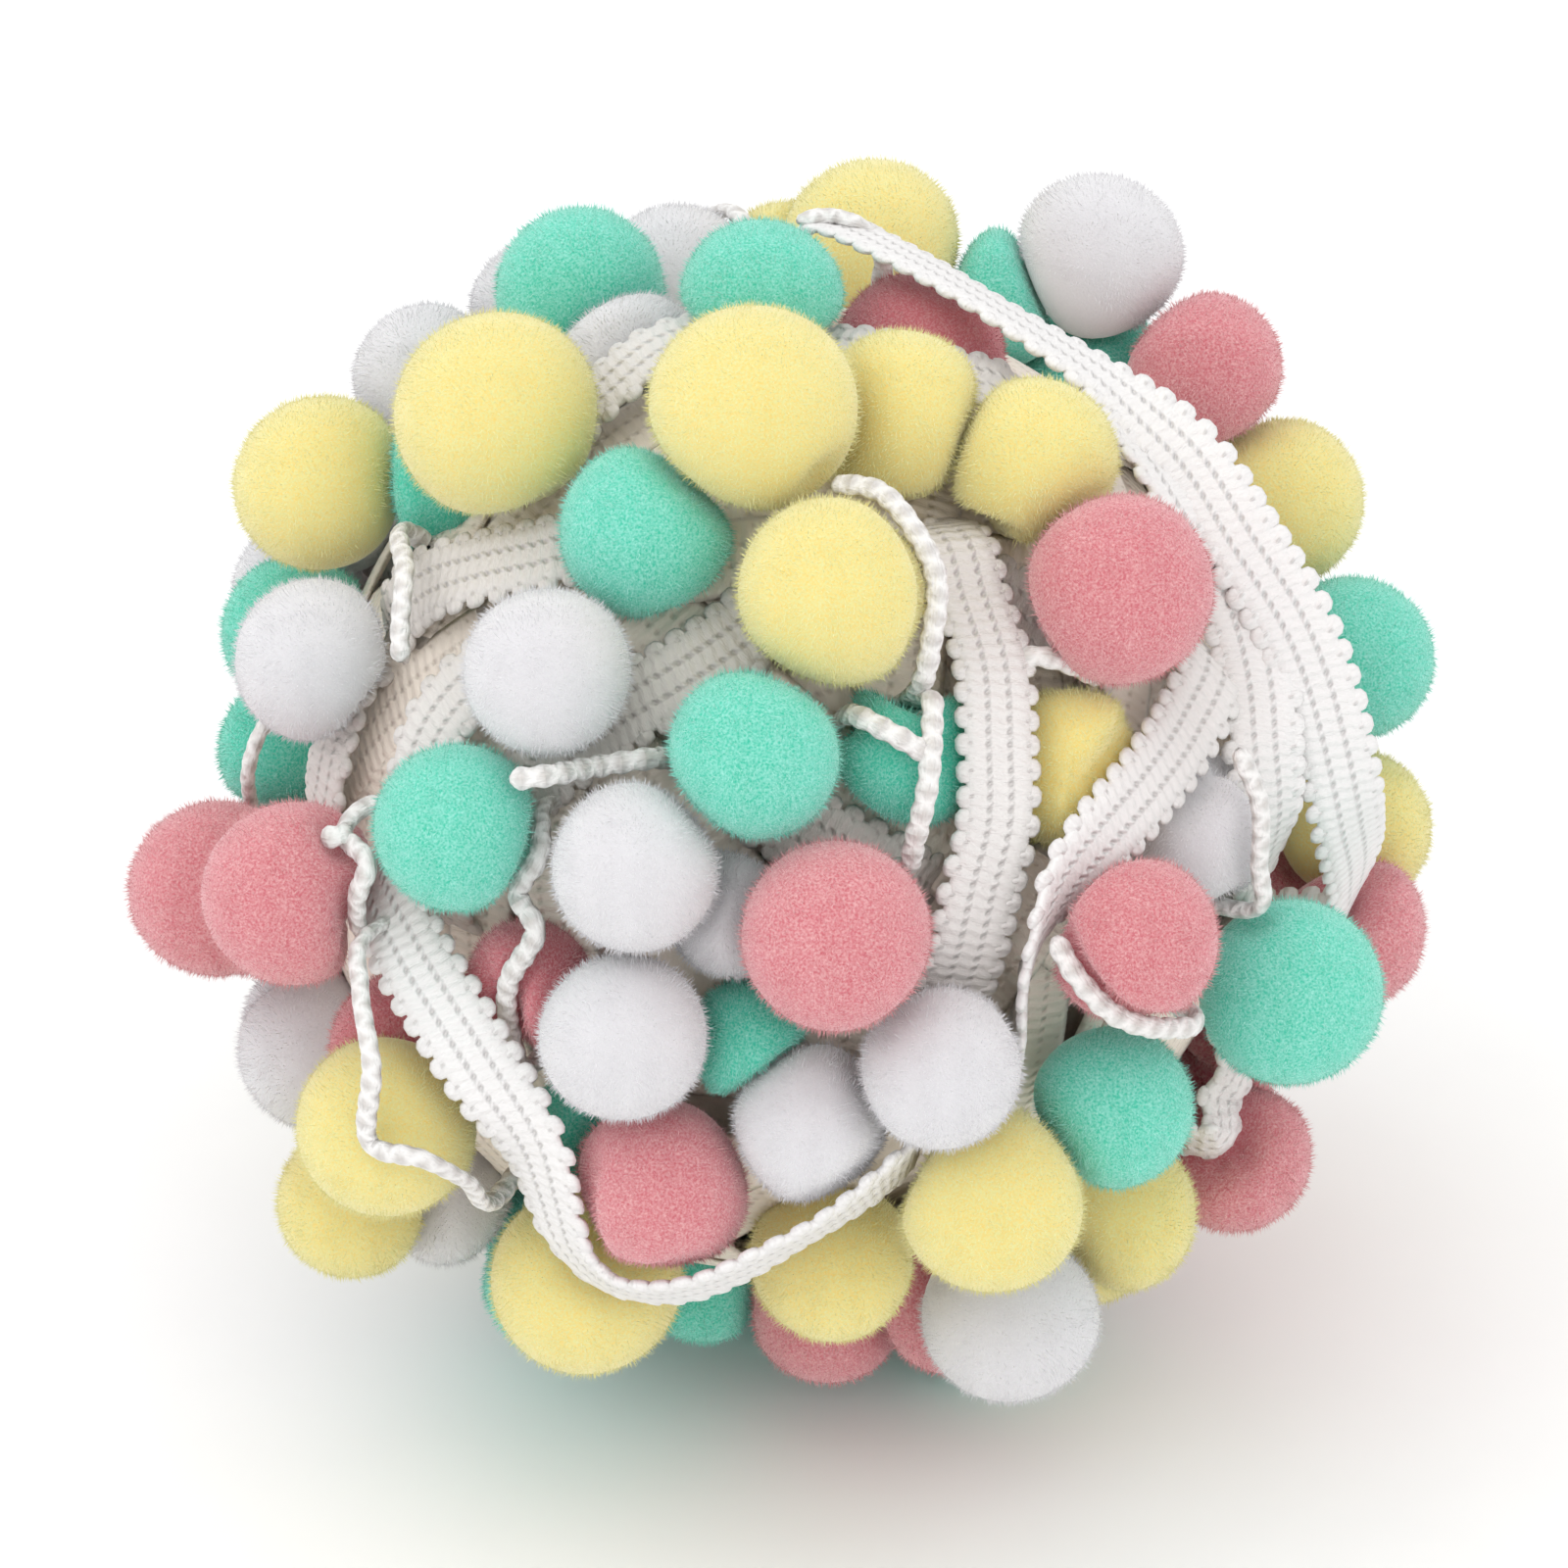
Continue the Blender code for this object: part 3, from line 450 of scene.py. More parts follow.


# Clipped acrylic pile: soft matt fibres, pale frosted tips and a bright downy rim, which is the
# sheen. The deeper colour towards the roots is painted shade among the fibres, and so is the
# darkening of a pressed skin and of a deep pompom; a random shift from fibre to fibre is the
# pile's own. Light goes some way into the ball of fibres, which lifts its shaded side; a single
# fibre is too thin for that.
def pileMaterial(name, look, through):
    material, tree = newMaterial(name)
    spot = addNode(tree, "TexCoord").outputs["Object"]
    tip = addNode(tree, "Attribute", {"attribute_name": "tip"}).outputs["Fac"]
    tone = addNode(tree, "Attribute", {"attribute_name": "tone"}).outputs["Fac"]
    speck = addNode(tree, "TexNoise", {"Scale": 3600.0, "Detail": 2.0}, {"Vector": spot})
    tuft = addNode(tree, "TexNoise", {"Scale": 420.0, "Detail": 3.0}, {"Vector": spot})
    level = addNode(tree, "Math MULTIPLY_ADD", {1: look["toneAndShadeSpread"]}, {0: tone, 2: tip})
    for noise, gain in ((speck, look["speckle"]), (tuft, look["mottle"])):
        centred = addNode(tree, "Math SUBTRACT", {1: 0.5}, {0: noise})
        level = addNode(tree, "Math MULTIPLY_ADD", {1: gain}, {0: centred, 2: level})
    # the root colour at the low end is painted shade; the place along the fibre and the shift set
    # how much
    ramp = addNode(tree, "ValToRGB", {}, {"Fac": level})
    stops = ramp.color_ramp.elements
    stops[0].position, stops[0].color = 0.0, linear(look["root"])
    stops[1].position, stops[1].color = 1.0, linear(look["tip"])
    stops.new(0.5).color = linear(look["pile"])
    bump = addNode(tree, "Bump", {"Strength": 0.5, "Distance": 0.0003}, {"Height": speck})
    shader = addNode(tree, "BsdfPrincipled", {
        "Roughness": 0.95, "Diffuse Roughness": 1.0, "IOR": 1.49, "Specular IOR Level": 0.25,
        "Sheen Weight": 0.90, "Sheen Roughness": 0.35,
        "Sheen Tint": linear(look["down"]), "Subsurface Weight": through,
        "Subsurface Radius": (1.0, 1.0, 1.0), "Subsurface Scale": 0.0040,
    }, {"Base Color": ramp, "Normal": bump})
    finishMaterial(tree, shader)
    return material


# Warp-knitted polyester: bright filament yarn in soft crosswise ribs. Down each inner stitch
# column a raised loop and a small eye take turns, and each picot has one eye at its root. The
# eyes are darkened with painted shade, and the deeper the yarn lies in the ball, the more it is
# multiplied by the shade colour, which is painted shade too.
# The height is a cosine along the tape, plus the loops, less the eyes, which are the sharp crest
# of that cosine within a column.
def knitMaterial(name, look):
    material, tree = newMaterial(name)
    place = addNode(tree, "Attribute", {"attribute_name": "knit"}).outputs["Vector"]
    deep = addNode(tree, "Attribute", {"attribute_name": "deep"}).outputs["Fac"]
    split = addNode(tree, "SeparateXYZ", {}, {0: place})
    bow = addNode(tree, "Math MULTIPLY", {1: 2.5}, {0: split})
    sway = addNode(tree, "Math SINE", {}, {0: bow})
    along = addNode(tree, "Math MULTIPLY_ADD", {1: look["slant"]}, {0: sway, 2: split.outputs[1]})
    ribTurn = 2 * math.pi * mm / tape["rib"]
    turns = addNode(tree, "Math MULTIPLY", {1: ribTurn}, {0: along})
    wave = addNode(tree, "Math COSINE", {}, {0: turns})
    halved = addNode(tree, "Math MULTIPLY_ADD", {1: 0.5, 2: math.pi}, {0: turns})
    slow = addNode(tree, "Math COSINE", {}, {0: halved})
    off = addNode(tree, "Math ABSOLUTE", {}, {0: split})
    strips, eyes = [], []
    # inner columns have an eye in every groove, outer ones one at the root of each picot
    crests = ((wave, 0.20, 0.95), (slow, 0.88, 0.99))
    for column, (crest, low, high) in zip(tape["columns"], crests):
        nearer = addNode(tree, "Math SUBTRACT", {1: column}, {0: off})
        near = addNode(tree, "Math ABSOLUTE", {}, {0: nearer})
        strips.append(addNode(tree, "MapRange", {
            "interpolation_type": "SMOOTHSTEP", "From Min": 0.48, "From Max": 0.06,
        }, {"Value": near}))
        groove = addNode(tree, "MapRange", {"From Min": low, "From Max": high}, {"Value": crest})
        eyes.append(addNode(tree, "Math MULTIPLY", {}, {0: strips[-1], 1: groove}))
    eye = addNode(tree, "Math MAXIMUM", {}, {0: eyes[0], 1: eyes[1]})
    loop = addNode(tree, "Math MULTIPLY", {}, {0: strips[0], 1: wave})
    stretched = addNode(tree, "Mapping", {"Scale": (1.6, 5.0, 1.0), "Rotation": (0, 0, 0.35)},
                        {"Vector": place})
    height = addNode(tree, "TexNoise", {"Scale": 1.0, "Detail": 3.0, "Roughness": 0.6},
                     {"Vector": stretched})
    for form, depth in ((wave, look["rib"]), (loop, look["loop"]), (eye, 0.5)):
        height = addNode(tree, "Math MULTIPLY_ADD", {1: -depth}, {0: form, 2: height})
    bump = addNode(tree, "Bump", {"Strength": look["bump"], "Distance": 0.00022},
                   {"Height": height})
    # painted shade: the yarn darker in the stitch eyes
    dark = addNode(tree, "Math MULTIPLY", {1: 0.45}, {0: eye})
    colour = addNode(tree, "Mix", {"data_type": "RGBA", "A": linear(look["yarn"]),
                                   "B": linear(look["eye"])}, {"Factor": dark})
    # painted shade: multiplied by the shade colour as far as the point lies deep in the ball
    shaded = addNode(tree, "Mix", {"data_type": "RGBA", "blend_type": "MULTIPLY",
                                   "B": linear(look["shade"])},
                     {"Factor": deep, "A": colour.outputs["Result"]})
    shader = addNode(tree, "BsdfPrincipled", {
        "Roughness": 0.50, "IOR": 1.55, "Sheen Weight": 0.15, "Sheen Roughness": 0.4,
    }, {"Base Color": shaded.outputs["Result"], "Normal": bump})
    finishMaterial(tree, shader)
    return material


# Braided polyester cord: the same yarn in plies, and filaments along them. Its height is the
# greater of two cosines, of twice the angle round the cord less or plus the turn along it.
def cordMaterial(name, look):
    material, tree = newMaterial(name)
    place = addNode(tree, "Attribute", {"attribute_name": "knit"}).outputs["Vector"]
    pit = addNode(tree, "Attribute", {"attribute_name": "pit"}).outputs["Fac"]
    split = addNode(tree, "SeparateXYZ", {}, {0: place})
    angle = addNode(tree, "Math ARCTAN2", {}, {0: split.outputs[1], 1: split})
    twice = addNode(tree, "Math MULTIPLY", {1: 2.0}, {0: angle})
    plaitTurn = 2 * math.pi * mm / cord["plait"]
    turn = addNode(tree, "Math MULTIPLY", {1: plaitTurn}, {0: split.outputs[2]})
    hands = []
    for hand in ("ADD", "SUBTRACT"):
        crossing = addNode(tree, f"Math {hand}", {}, {0: twice, 1: turn})
        hands.append(addNode(tree, "Math COSINE", {}, {0: crossing}))
    ply = addNode(tree, "Math MAXIMUM", {}, {0: hands[0], 1: hands[1]})
    stretched = addNode(tree, "Mapping", {"Scale": (4.0, 4.0, 1.5)}, {"Vector": place})
    yarn = addNode(tree, "TexNoise", {"Scale": 1.0, "Detail": 3.0}, {"Vector": stretched})
    height = addNode(tree, "Math MULTIPLY_ADD", {1: 0.7}, {0: ply, 2: yarn})
    bump = addNode(tree, "Bump", {"Strength": 1.0, "Distance": 0.00025}, {"Height": height})
    # painted shade: the eye colour where the plies part
    colour = addNode(tree, "Mix", {"data_type": "RGBA", "A": linear(look["yarn"]),
                                   "B": linear(look["eye"])}, {"Factor": pit})
    shader = addNode(tree, "BsdfPrincipled", {"Roughness": 0.42, "IOR": 1.55},
                     {"Base Color": colour.outputs["Result"], "Normal": bump})
    finishMaterial(tree, shader)
    return material


# Squares from ring i to the next ring, all the way round; j counts along a ring.
def ringFaces(i, j, nextRing, around):
    k = (j + 1) % around
    corners = (i * around + j, i * around + k, nextRing * around + k, nextRing * around + j)
    return np.stack(corners, -1).reshape(-1, 4)


# Faces of a tube: its rings joined, with a fan on each end to the two points after them.
def tubeFaces(stations, around):
    i, j = np.meshgrid(np.arange(stations - 1), np.arange(around), indexing="ij")
    ring = np.arange(around)
    after = (ring + 1) % around
    last = (stations - 1) * around
    low = np.stack([np.full(around, stations * around), after, ring], -1)
    high = np.stack([np.full(around, stations * around + 1), last + ring, last + after], -1)
    return ringFaces(i, j, i + 1, around), np.vstack([low, high])


def rows3(x, y, z):  # three arrays, spread to one shape, as rows of three
    return np.stack(np.broadcast_arrays(x, y, z), -1).reshape(-1, 3)


# A profile carried along a path: path + side times across + outward times out.
def carried(path, side, outward, across, out):
    spots = path[:, None] + side[:, None] * across[..., None] + outward[:, None] * out[..., None]
    return spots.reshape(-1, 3)


def closedTube(path, spots, knit):  # a tube's points, faces and knit, with its two end points
    quads, caps = tubeFaces(len(path), len(spots) // len(path))
    return np.vstack([spots, path[[0, -1]]]), quads, caps, np.vstack([knit, np.zeros((2, 3))])


class Heap:  # gathers the arrays of many like shapes into one piece
    def __init__(self, *keys):
        self.points, self.count = [], 0
        self.quads, self.triangles = [np.zeros((0, 4), int)], [np.zeros((0, 3), int)]
        self.values = {key: [] for key in keys}

    def add(self, points, quads=None, triangles=None, **values):
        self.points.append(points)
        if quads is not None:
            self.quads.append(quads + self.count)
        if triangles is not None:
            self.triangles.append(triangles + self.count)
        for key, value in values.items():
            self.values[key].append(value)
        self.count += len(points)

    # a mesh from whole arrays: points, faces of four and of three, and values for each point
    def piece(self, name, material, slotName, nodes, smooth=True):
        points, quads = np.vstack(self.points), np.vstack(self.quads)
        triangles = np.vstack(self.triangles)
        mesh = bpy.data.meshes.new(name)
        mesh.vertices.add(len(points))
        mesh.vertices.foreach_set("co", points.astype(np.float32).ravel())
        mesh.loops.add(quads.size + triangles.size)
        corners = np.concatenate([quads.ravel(), triangles.ravel()])
        mesh.loops.foreach_set("vertex_index", corners.astype(np.int32))
        sizes = np.repeat((4, 3), (len(quads), len(triangles)))
        mesh.polygons.add(len(sizes))
        mesh.polygons.foreach_set("loop_start", (np.cumsum(sizes) - sizes).astype(np.int32))
        mesh.polygons.foreach_set("use_smooth", np.full(len(sizes), smooth))
        mesh.update(calc_edges=True)
        mesh.validate()
        for key, rows in self.values.items():
            value = np.concatenate(rows).astype(np.float32)
            kind, field = ("FLOAT_VECTOR", "vector") if value.ndim == 2 else ("FLOAT", "value")
            mesh.attributes.new(key, kind, "POINT").data.foreach_set(field, value.ravel())
        mesh.materials.append(material)
        piece = bpy.data.objects.new(name, mesh)
        bpy.context.scene.collection.objects.link(piece)
        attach(piece, "root")
        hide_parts(*nodes)
        print(name, "has", len(quads) * 2 + len(triangles), "triangles")
        return piece


def bandStations(length):  # two stations to a rib: in its groove and on its crown
    return np.arange(2 * max(3, int(length / tape["rib"])) + 1) * tape["rib"] / 2


def shellOf(points):  # the distance from the ball's middle
    return np.linalg.norm(points - ball["middle"], axis=-1)


# How deep in the ball a point lies: from 0 at the upper shell to 1 on the wound form, which is
# how much painted shade the point gets.
def depthOf(points, upper):
    return np.clip((upper - shellOf(points) / mm) / (upper - shade["form"]), 0, 1)


# The band's section, carried along its frame: half the thickness, rounded off to the rims,
# plus the rib's height on its crown, less the stitches' pull at each inner column.
def bandShape(rows):
    points, sideways, outward, stations = bandFrame(rows, stations=bandStations)
    shown = shellOf(points) > tape["hiddenShell"]
    start, end = np.argmax(shown), len(shown) - np.argmax(shown[::-1])
    points, sideways, outward = points[start:end], sideways[start:end], outward[start:end]
    stations = stations[start:end]
    crown = (np.arange(start, end) % 2).astype(float)[:, None]
    half, inner, edge = tape["bodyHalf"] / mm, tape["columns"][0], tape["edge"]
    outer = (inner + half - edge) / 2
    top = np.array((-half, edge - half, -outer, -inner, 0, inner, outer, half - edge, half))
    below = half - tape["underEdge"]
    under = np.array((below, outer, inner, -inner, -outer, -below))
    x = np.append(top, under)
    side = np.append(np.ones(len(top)), -np.ones(len(under)))
    column = np.abs(np.abs(x) - inner) < 0.01
    rim = np.clip((half - np.abs(x)) / edge, 0.25, 1.0)
    body = tape["thickness"] / 2 - tape["ribHeight"]
    high = rim * (body + tape["ribHeight"] * crown - tape["pit"] * column * (1 - crown))
    spots = carried(points, sideways, outward, np.broadcast_to(x * mm, high.shape), high * side)
    knit = rows3(x, stations[:, None] / mm, 0.0)
    return *closedTube(points, spots, knit), (points, sideways, outward, stations)


# A small closed ball: rows of latitude rings and two poles, in unit size.
def ringBall(ring, rows):
    polar = np.linspace(0, math.pi, rows + 1)[1:-1, None]
    turn = np.linspace(0, 2 * math.pi, ring, endpoint=False)
    points = rows3(np.sin(polar) * np.cos(turn), np.sin(polar) * np.sin(turn), np.cos(polar))
    points = np.vstack([points, (0, 0, 1), (0, 0, -1)])
    quads, caps = tubeFaces(rows - 1, ring)
    return points, quads[:, ::-1], caps[:, ::-1]


# A picot is a plump flat lobe of yarn, half in the edge: a ball with each axis raised to a power
# below one, which fills it out. Its place in the knit goes on from the band's, so that the
# stitch at its root lands on it.
def picotShapes(line):
    points, sideways, outward, stations = line
    pitch = 2 * tape["rib"]
    spots = (np.arange(np.ceil(stations[0] / pitch), stations[-1] / pitch - 0.5) + 0.5) * pitch
    shape, quads, caps = ringBall(picot["ring"], picot["rows"])
    shape = np.sign(shape) * np.abs(shape) ** picot["full"]
    middle, side, out = (
        np.column_stack([np.interp(spots, stations, column) for column in part.T])
        for part in (points, sideways, outward)
    )
    along = unit(np.cross(out, side))
    swell = 1 + picot["swell"] * np.sin(spots / mm * 2.3)[:, None, None]
    found, knit = [], []
    for edge in (-1, 1):
        base = middle + side * edge * picot["from"]
        egg = (shape[:, 0, None] * along[:, None] * picot["along"]
               + shape[:, 1, None] * side[:, None] * picot["across"]
               + shape[:, 2, None] * out[:, None] * picot["thick"])
        found.append(base[:, None] + egg * swell)
        x = (edge * picot["from"] + shape[:, 1] * picot["across"]) / mm
        y = (spots[:, None] + shape[:, 0] * picot["along"]) / mm
        knit.append(rows3(x, y, 0.0))
    found = np.vstack(found)
    step = np.arange(len(found))[:, None, None] * len(shape)
    return (found.reshape(-1, 3), (quads + step).reshape(-1, 4), (caps + step).reshape(-1, 3),
            np.vstack(knit))


# A plaited cord: an oval section whose radius swells where a left or a right hand ply runs,
# each a wave in the angle less the turn along the plait. Its ends round off as a ball does.
def cordShape(points, radius, turnStart):
    along = unit(np.gradient(points, axis=0))
    outward = unit(points - ball["middle"])
    side = unit(np.cross(along, outward))
    outward = np.cross(side, along)
    angle = np.linspace(0, 2 * math.pi, cord["around"], endpoint=False)
    length = np.append(0, np.cumsum(np.linalg.norm(np.diff(points, axis=0), axis=1)))[:, None]
    turn = 2 * math.pi * length / cord["plait"] + turnStart
    ply = np.maximum(np.cos(2 * angle - turn), np.cos(2 * angle + turn))
    fromEnd = np.minimum(length, length[-1] - length) / radius
    rounded = np.sqrt(1 - (1 - np.clip(fromEnd, 0.05, 1)) ** 2)
    swell = radius * rounded * (1 - cord["relief"] + cord["relief"] * ply)
    across = swell * np.cos(angle) * cord["flat"][0]
    out = swell * np.sin(angle) * cord["flat"][1]
    spots = carried(points, side, outward, across, out)
    knit = rows3(np.cos(angle), np.sin(angle), turn * cord["plait"] / (2 * math.pi * mm))
    # pit: how much painted shade the groove between plies gets
    pit = np.clip(0.35 - 0.5 * ply, 0, 1)
    return *closedTube(points, spots, knit), np.append(pit.ravel(), (0, 0))


farSide = {
    "bands": ("topBack", "backLong", "backTurn", "backHigh"),
    "step": 0.001,
    "ends": (0.024, 0.020),  # no cord starts this near to a band's start and end
    "every": 0.019,       # along a band, from one cord to the next
    "edge": 0.0046,       # from the band's middle to the cord's start
    "lift": 0.0004,       # the cord's start over the band's middle line
    "beside": 0.004,      # how far to the cord's side of the band its pompom lies, at least
    "reach": 0.0150,      # to the middle of the pompom that the cord lies over
    "above": 0.0007,      # the cord's middle line over the pile
    "arc": (0.12, 7),     # where on the pompom the cord meets it, and its places there
}


# Cords of the far side: each starts at the edge of a band, lies over the nearest pompom on
# that side, by a quadratic curve through three directions from its middle, and goes down.
def farCords(pompoms):
    middles = np.array([pompom.middle for pompom in pompoms])
    edge = 1
    for name in farSide["bands"]:
        points, sideways, outward, stations = bandFrame(tapeRoutes[name], farSide["step"])
        places = farSide["ends"][0], stations[-1] - farSide["ends"][1], farSide["every"]
        for place in np.arange(*places):
            edge = -edge
            i = int(place / farSide["step"])
            start = points[i] + sideways[i] * edge * farSide["edge"] + outward[i] * farSide["lift"]
            apart = np.linalg.norm(middles - start, axis=1)
            apart[(middles - points[i]) @ sideways[i] * edge < farSide["beside"]] = 1.0
            own = pompoms[apart.argmin()]
            if apart.min() > farSide["reach"]:
                continue
            along = unit(points[i + 1] - points[i - 1]) * edge
            away = unit(own.middle - ball["middle"])
            first = unit(start - own.middle)
            over = unit(away + 0.5 * along) * 1.3
            last = unit(0.7 * along - 0.7 * first)
            share = np.linspace(farSide["arc"][0], 1.0, farSide["arc"][1])[:, None]
            rest = 1 - share
            turns = unit(first * rest**2 + 2 * over * share * rest + last * share**2)
            arc = own.middle + turns * (own.radius + farSide["above"])
            yield smoothRoute(np.vstack([start, arc, rootOf(arc[-1])]), cord["step"])[0]


deepTurns = {
    "turns": 26, "step": 0.0015, "shells": (51.2, 55.4), "halfWidth": 0.0048,
    "sway": 0.10,  # how far a turn sways to each side, as a share of its radius
    "across": (-1, -0.8, -0.27, 0.27, 0.8, 1, 0.5, -0.5),  # the section, of its half width
    "out": (0, 0.4, 0.55, 0.55, 0.4, 0, -0.5, -0.5),  # and mm
    "seed": 5,
}


# A deep turn of tape: a great circle that sways a little, with a flat oval section.
def deepTurn(rng):
    axis = unit(rng.normal(size=3))
    first = unit(np.cross(axis, (0.3, 0.5, 0.8)))  # any way that is square to the axis
    second = np.cross(axis, first)
    inner, outer = deepTurns["shells"]
    shell = inner + (outer - inner) * rng.random()
    count = int(2 * math.pi * shell * mm / deepTurns["step"])
    angle = np.linspace(0, 2 * math.pi, count, endpoint=False)[:, None]
    sway = deepTurns["sway"] * np.sin(angle * 2 + rng.random() * 6)
    heading = unit(first * np.cos(angle) + second * np.sin(angle) + axis * sway)
    points = ball["middle"] + heading * shell * mm
    along = unit(np.roll(points, -1, 0) - np.roll(points, 1, 0))
    side = unit(np.cross(along, heading))
    x = np.array(deepTurns["across"]) * deepTurns["halfWidth"]
    out = np.array(deepTurns["out"]) * mm
    across, out = (np.broadcast_to(values, (count, len(x))) for values in (x, out))
    i, j = np.meshgrid(np.arange(count), np.arange(len(x)), indexing="ij")
    quads = ringFaces(i, j, (i + 1) % count, len(x))
    return carried(points, side, heading, across, out), quads, rows3(x / mm, angle * shell, 0.0)


pile = {
    "faces": 11,          # squares along each side of the six patches of a pompom's ball
    "fibres": 6300,       # fibres on a whole pompom, before the hidden ones are left out
    "softness": 7.0,      # how gently a pressed side turns into a round one; less is softer
    "mesh": 0.00035,      # how far the pile of two neighbours runs into each other
    "sink": 0.00040,      # the ball's skin below the tips
    "dent": 6.0,          # how local a tape or cord dents the pile; more is narrower
    "length": (0.00050, 0.00120),
    "lean": 0.00030,
    "tufts": 13.0,        # waves of the lean round the pompom, two pi of them to a turn
    "lumps": 2.7,
    "lump": 0.010,        # how far each of three slow waves swells the ball out or in
    "width": 0.00015,
    "rootDepth": 0.0002,  # a fibre's root below the skin
    "under": -0.55,       # no fibres where a pompom faces the ball's middle more than this
    "pressed": (0.80, 0.62, 0.4),  # all fibres above this reach, and past it this share of them
    # the low places lie towards the root colour: painted shade below the tips
    "skinTip": 0.35,      # the skin's place from root colour to tip colour
    "tips": (0.40, 0.40, 0.85),  # the same at the two root corners and the tip of a fibre
    "ride": (0.2, 0.001),  # how far the outer of two pompoms rides over the inner
    "seed": 11,
}
# root colours are painted shade deep in the pile; down is the sheen's tint
pileLooks = {
    "mint": {"root": "#4CC8AC", "pile": "#90DACB", "tip": "#B8E8DF", "down": "#D5FFF2",
             "speckle": 1.7, "mottle": 0.20, "toneAndShadeSpread": 0.40},
    "yellow": {"root": "#EDD27A", "pile": "#E4E0A4", "tip": "#EEECC6", "down": "#FFFDE0",
               "speckle": 1.0, "mottle": 0.15, "toneAndShadeSpread": 0.25},
    "pink": {"root": "#CF7781", "pile": "#DBA1A4", "tip": "#ECC4C6", "down": "#FFE3E6",
             "speckle": 1.9, "mottle": 0.20, "toneAndShadeSpread": 0.45},
    "white": {"root": "#D8D6D9", "pile": "#DFDEE0", "tip": "#E8E7E9", "down": "#FFFFFF",
              "speckle": 0.5, "mottle": 0.08, "toneAndShadeSpread": 0.10},
}


# A ball of six square patches: the tangent of an even grid on each side of a cube, over its
# length, with the shared points merged.
def patchBall(count):
    even = np.tan(np.linspace(-1, 1, count + 1) * math.pi / 4)
    a, b = (grid.ravel() for grid in np.meshgrid(even, even, indexing="ij"))
    one = np.ones(len(a))
    sides = [(one, a, b), (-one, b, a), (b, one, a), (a, -one, b), (a, b, one), (b, a, -one)]
    points = unit(np.concatenate([np.column_stack(side) for side in sides]))
    i, j = (grid.ravel() for grid in np.meshgrid(np.arange(count), np.arange(count), indexing="ij"))
    row = count + 1
    after = (i + 1) * row + j
    square = np.column_stack([i * row + j, after, after + 1, i * row + j + 1])
    quads = np.concatenate([square + side * row * row for side in range(6)])
    _, kept, merged = np.unique(points.round(6), axis=0, return_index=True, return_inverse=True)
    points, quads = points[kept], merged.ravel()[quads]
    middle = points[quads].mean(axis=1)
    corner, second, third = (points[quads[:, k]] for k in range(3))
    inside = (np.cross(second - corner, third - corner) * middle).sum(axis=1) < 0
    quads[inside] = quads[inside][:, ::-1]
    return points, quads


def turnedAbout(rng):  # a turn of space, from three random vectors made square to each other
    square, _ = np.linalg.qr(rng.normal(size=(3, 3)))
    return square


# What presses on a pompom: flat walls towards its neighbours, the ball's core and the
# surface below, and the points of tape and cord beside it.
def pressOn(index, pompoms, samples, clearances):
    own = pompoms[index]
    normals, distances = [(0.0, 0.0, -1.0)], [own.middle[2]]
    for other in pompoms[:index] + pompoms[index + 1:]:
        apart = other.middle - own.middle
        length = np.linalg.norm(apart)
        if length < own.radius + other.radius + ball["gap"]:
            share = (length**2 + own.radius**2 - other.radius**2) / (2 * length)
            normals.append(apart / length)
            outer = shellOf(own.middle) - shellOf(other.middle)
            ride, most = pile["ride"]
            distances.append(share + pile["mesh"] + np.clip(outer * ride, -most, most))
    inward = ball["middle"] - own.middle
    normals.append(unit(inward))
    distances.append(np.linalg.norm(inward) - ball["coreRadius"] - ball["coreRelief"])
    apart = samples - own.middle
    length = np.linalg.norm(apart, axis=1)
    near = length < own.radius + clearances
    least = own.radius * pressing["leastShare"]
    strips = apart[near] / length[near, None], np.maximum((length - clearances)[near], least)
    return np.array(normals), np.maximum(np.array(distances), least), strips


# How far the pile reaches in each direction: a soft least of its own radius and of the
# distance to each wall, by the sum of their minus powers, with a slow swell of three sine waves.
def pileReach(directions, radius, walls, swell):
    normals, distances, (stripNormals, stripDistances) = walls
    power = pile["softness"]
    facing = np.maximum(directions @ normals.T, 1e-3)
    total = ((distances / facing) ** -power).sum(axis=1) + radius**-power
    if len(stripNormals):
        facing = np.maximum(directions @ stripNormals.T, 1e-3) ** pile["dent"]
        total += (stripDistances / facing).min(axis=1) ** -power
    turn, phase = swell
    waves = np.sin(directions @ turn * pile["lumps"] + phase).sum(axis=1)
    return total ** (-1 / power) * (1 + pile["lump"] * waves)


# A pompom's skin: its reach less the pile's sink.
def pompomSkin(pompom, walls, directions, swell):
    reach = pileReach(directions, pompom.radius, walls, swell)
    return pompom.middle + directions * (reach - pile["sink"])[:, None]


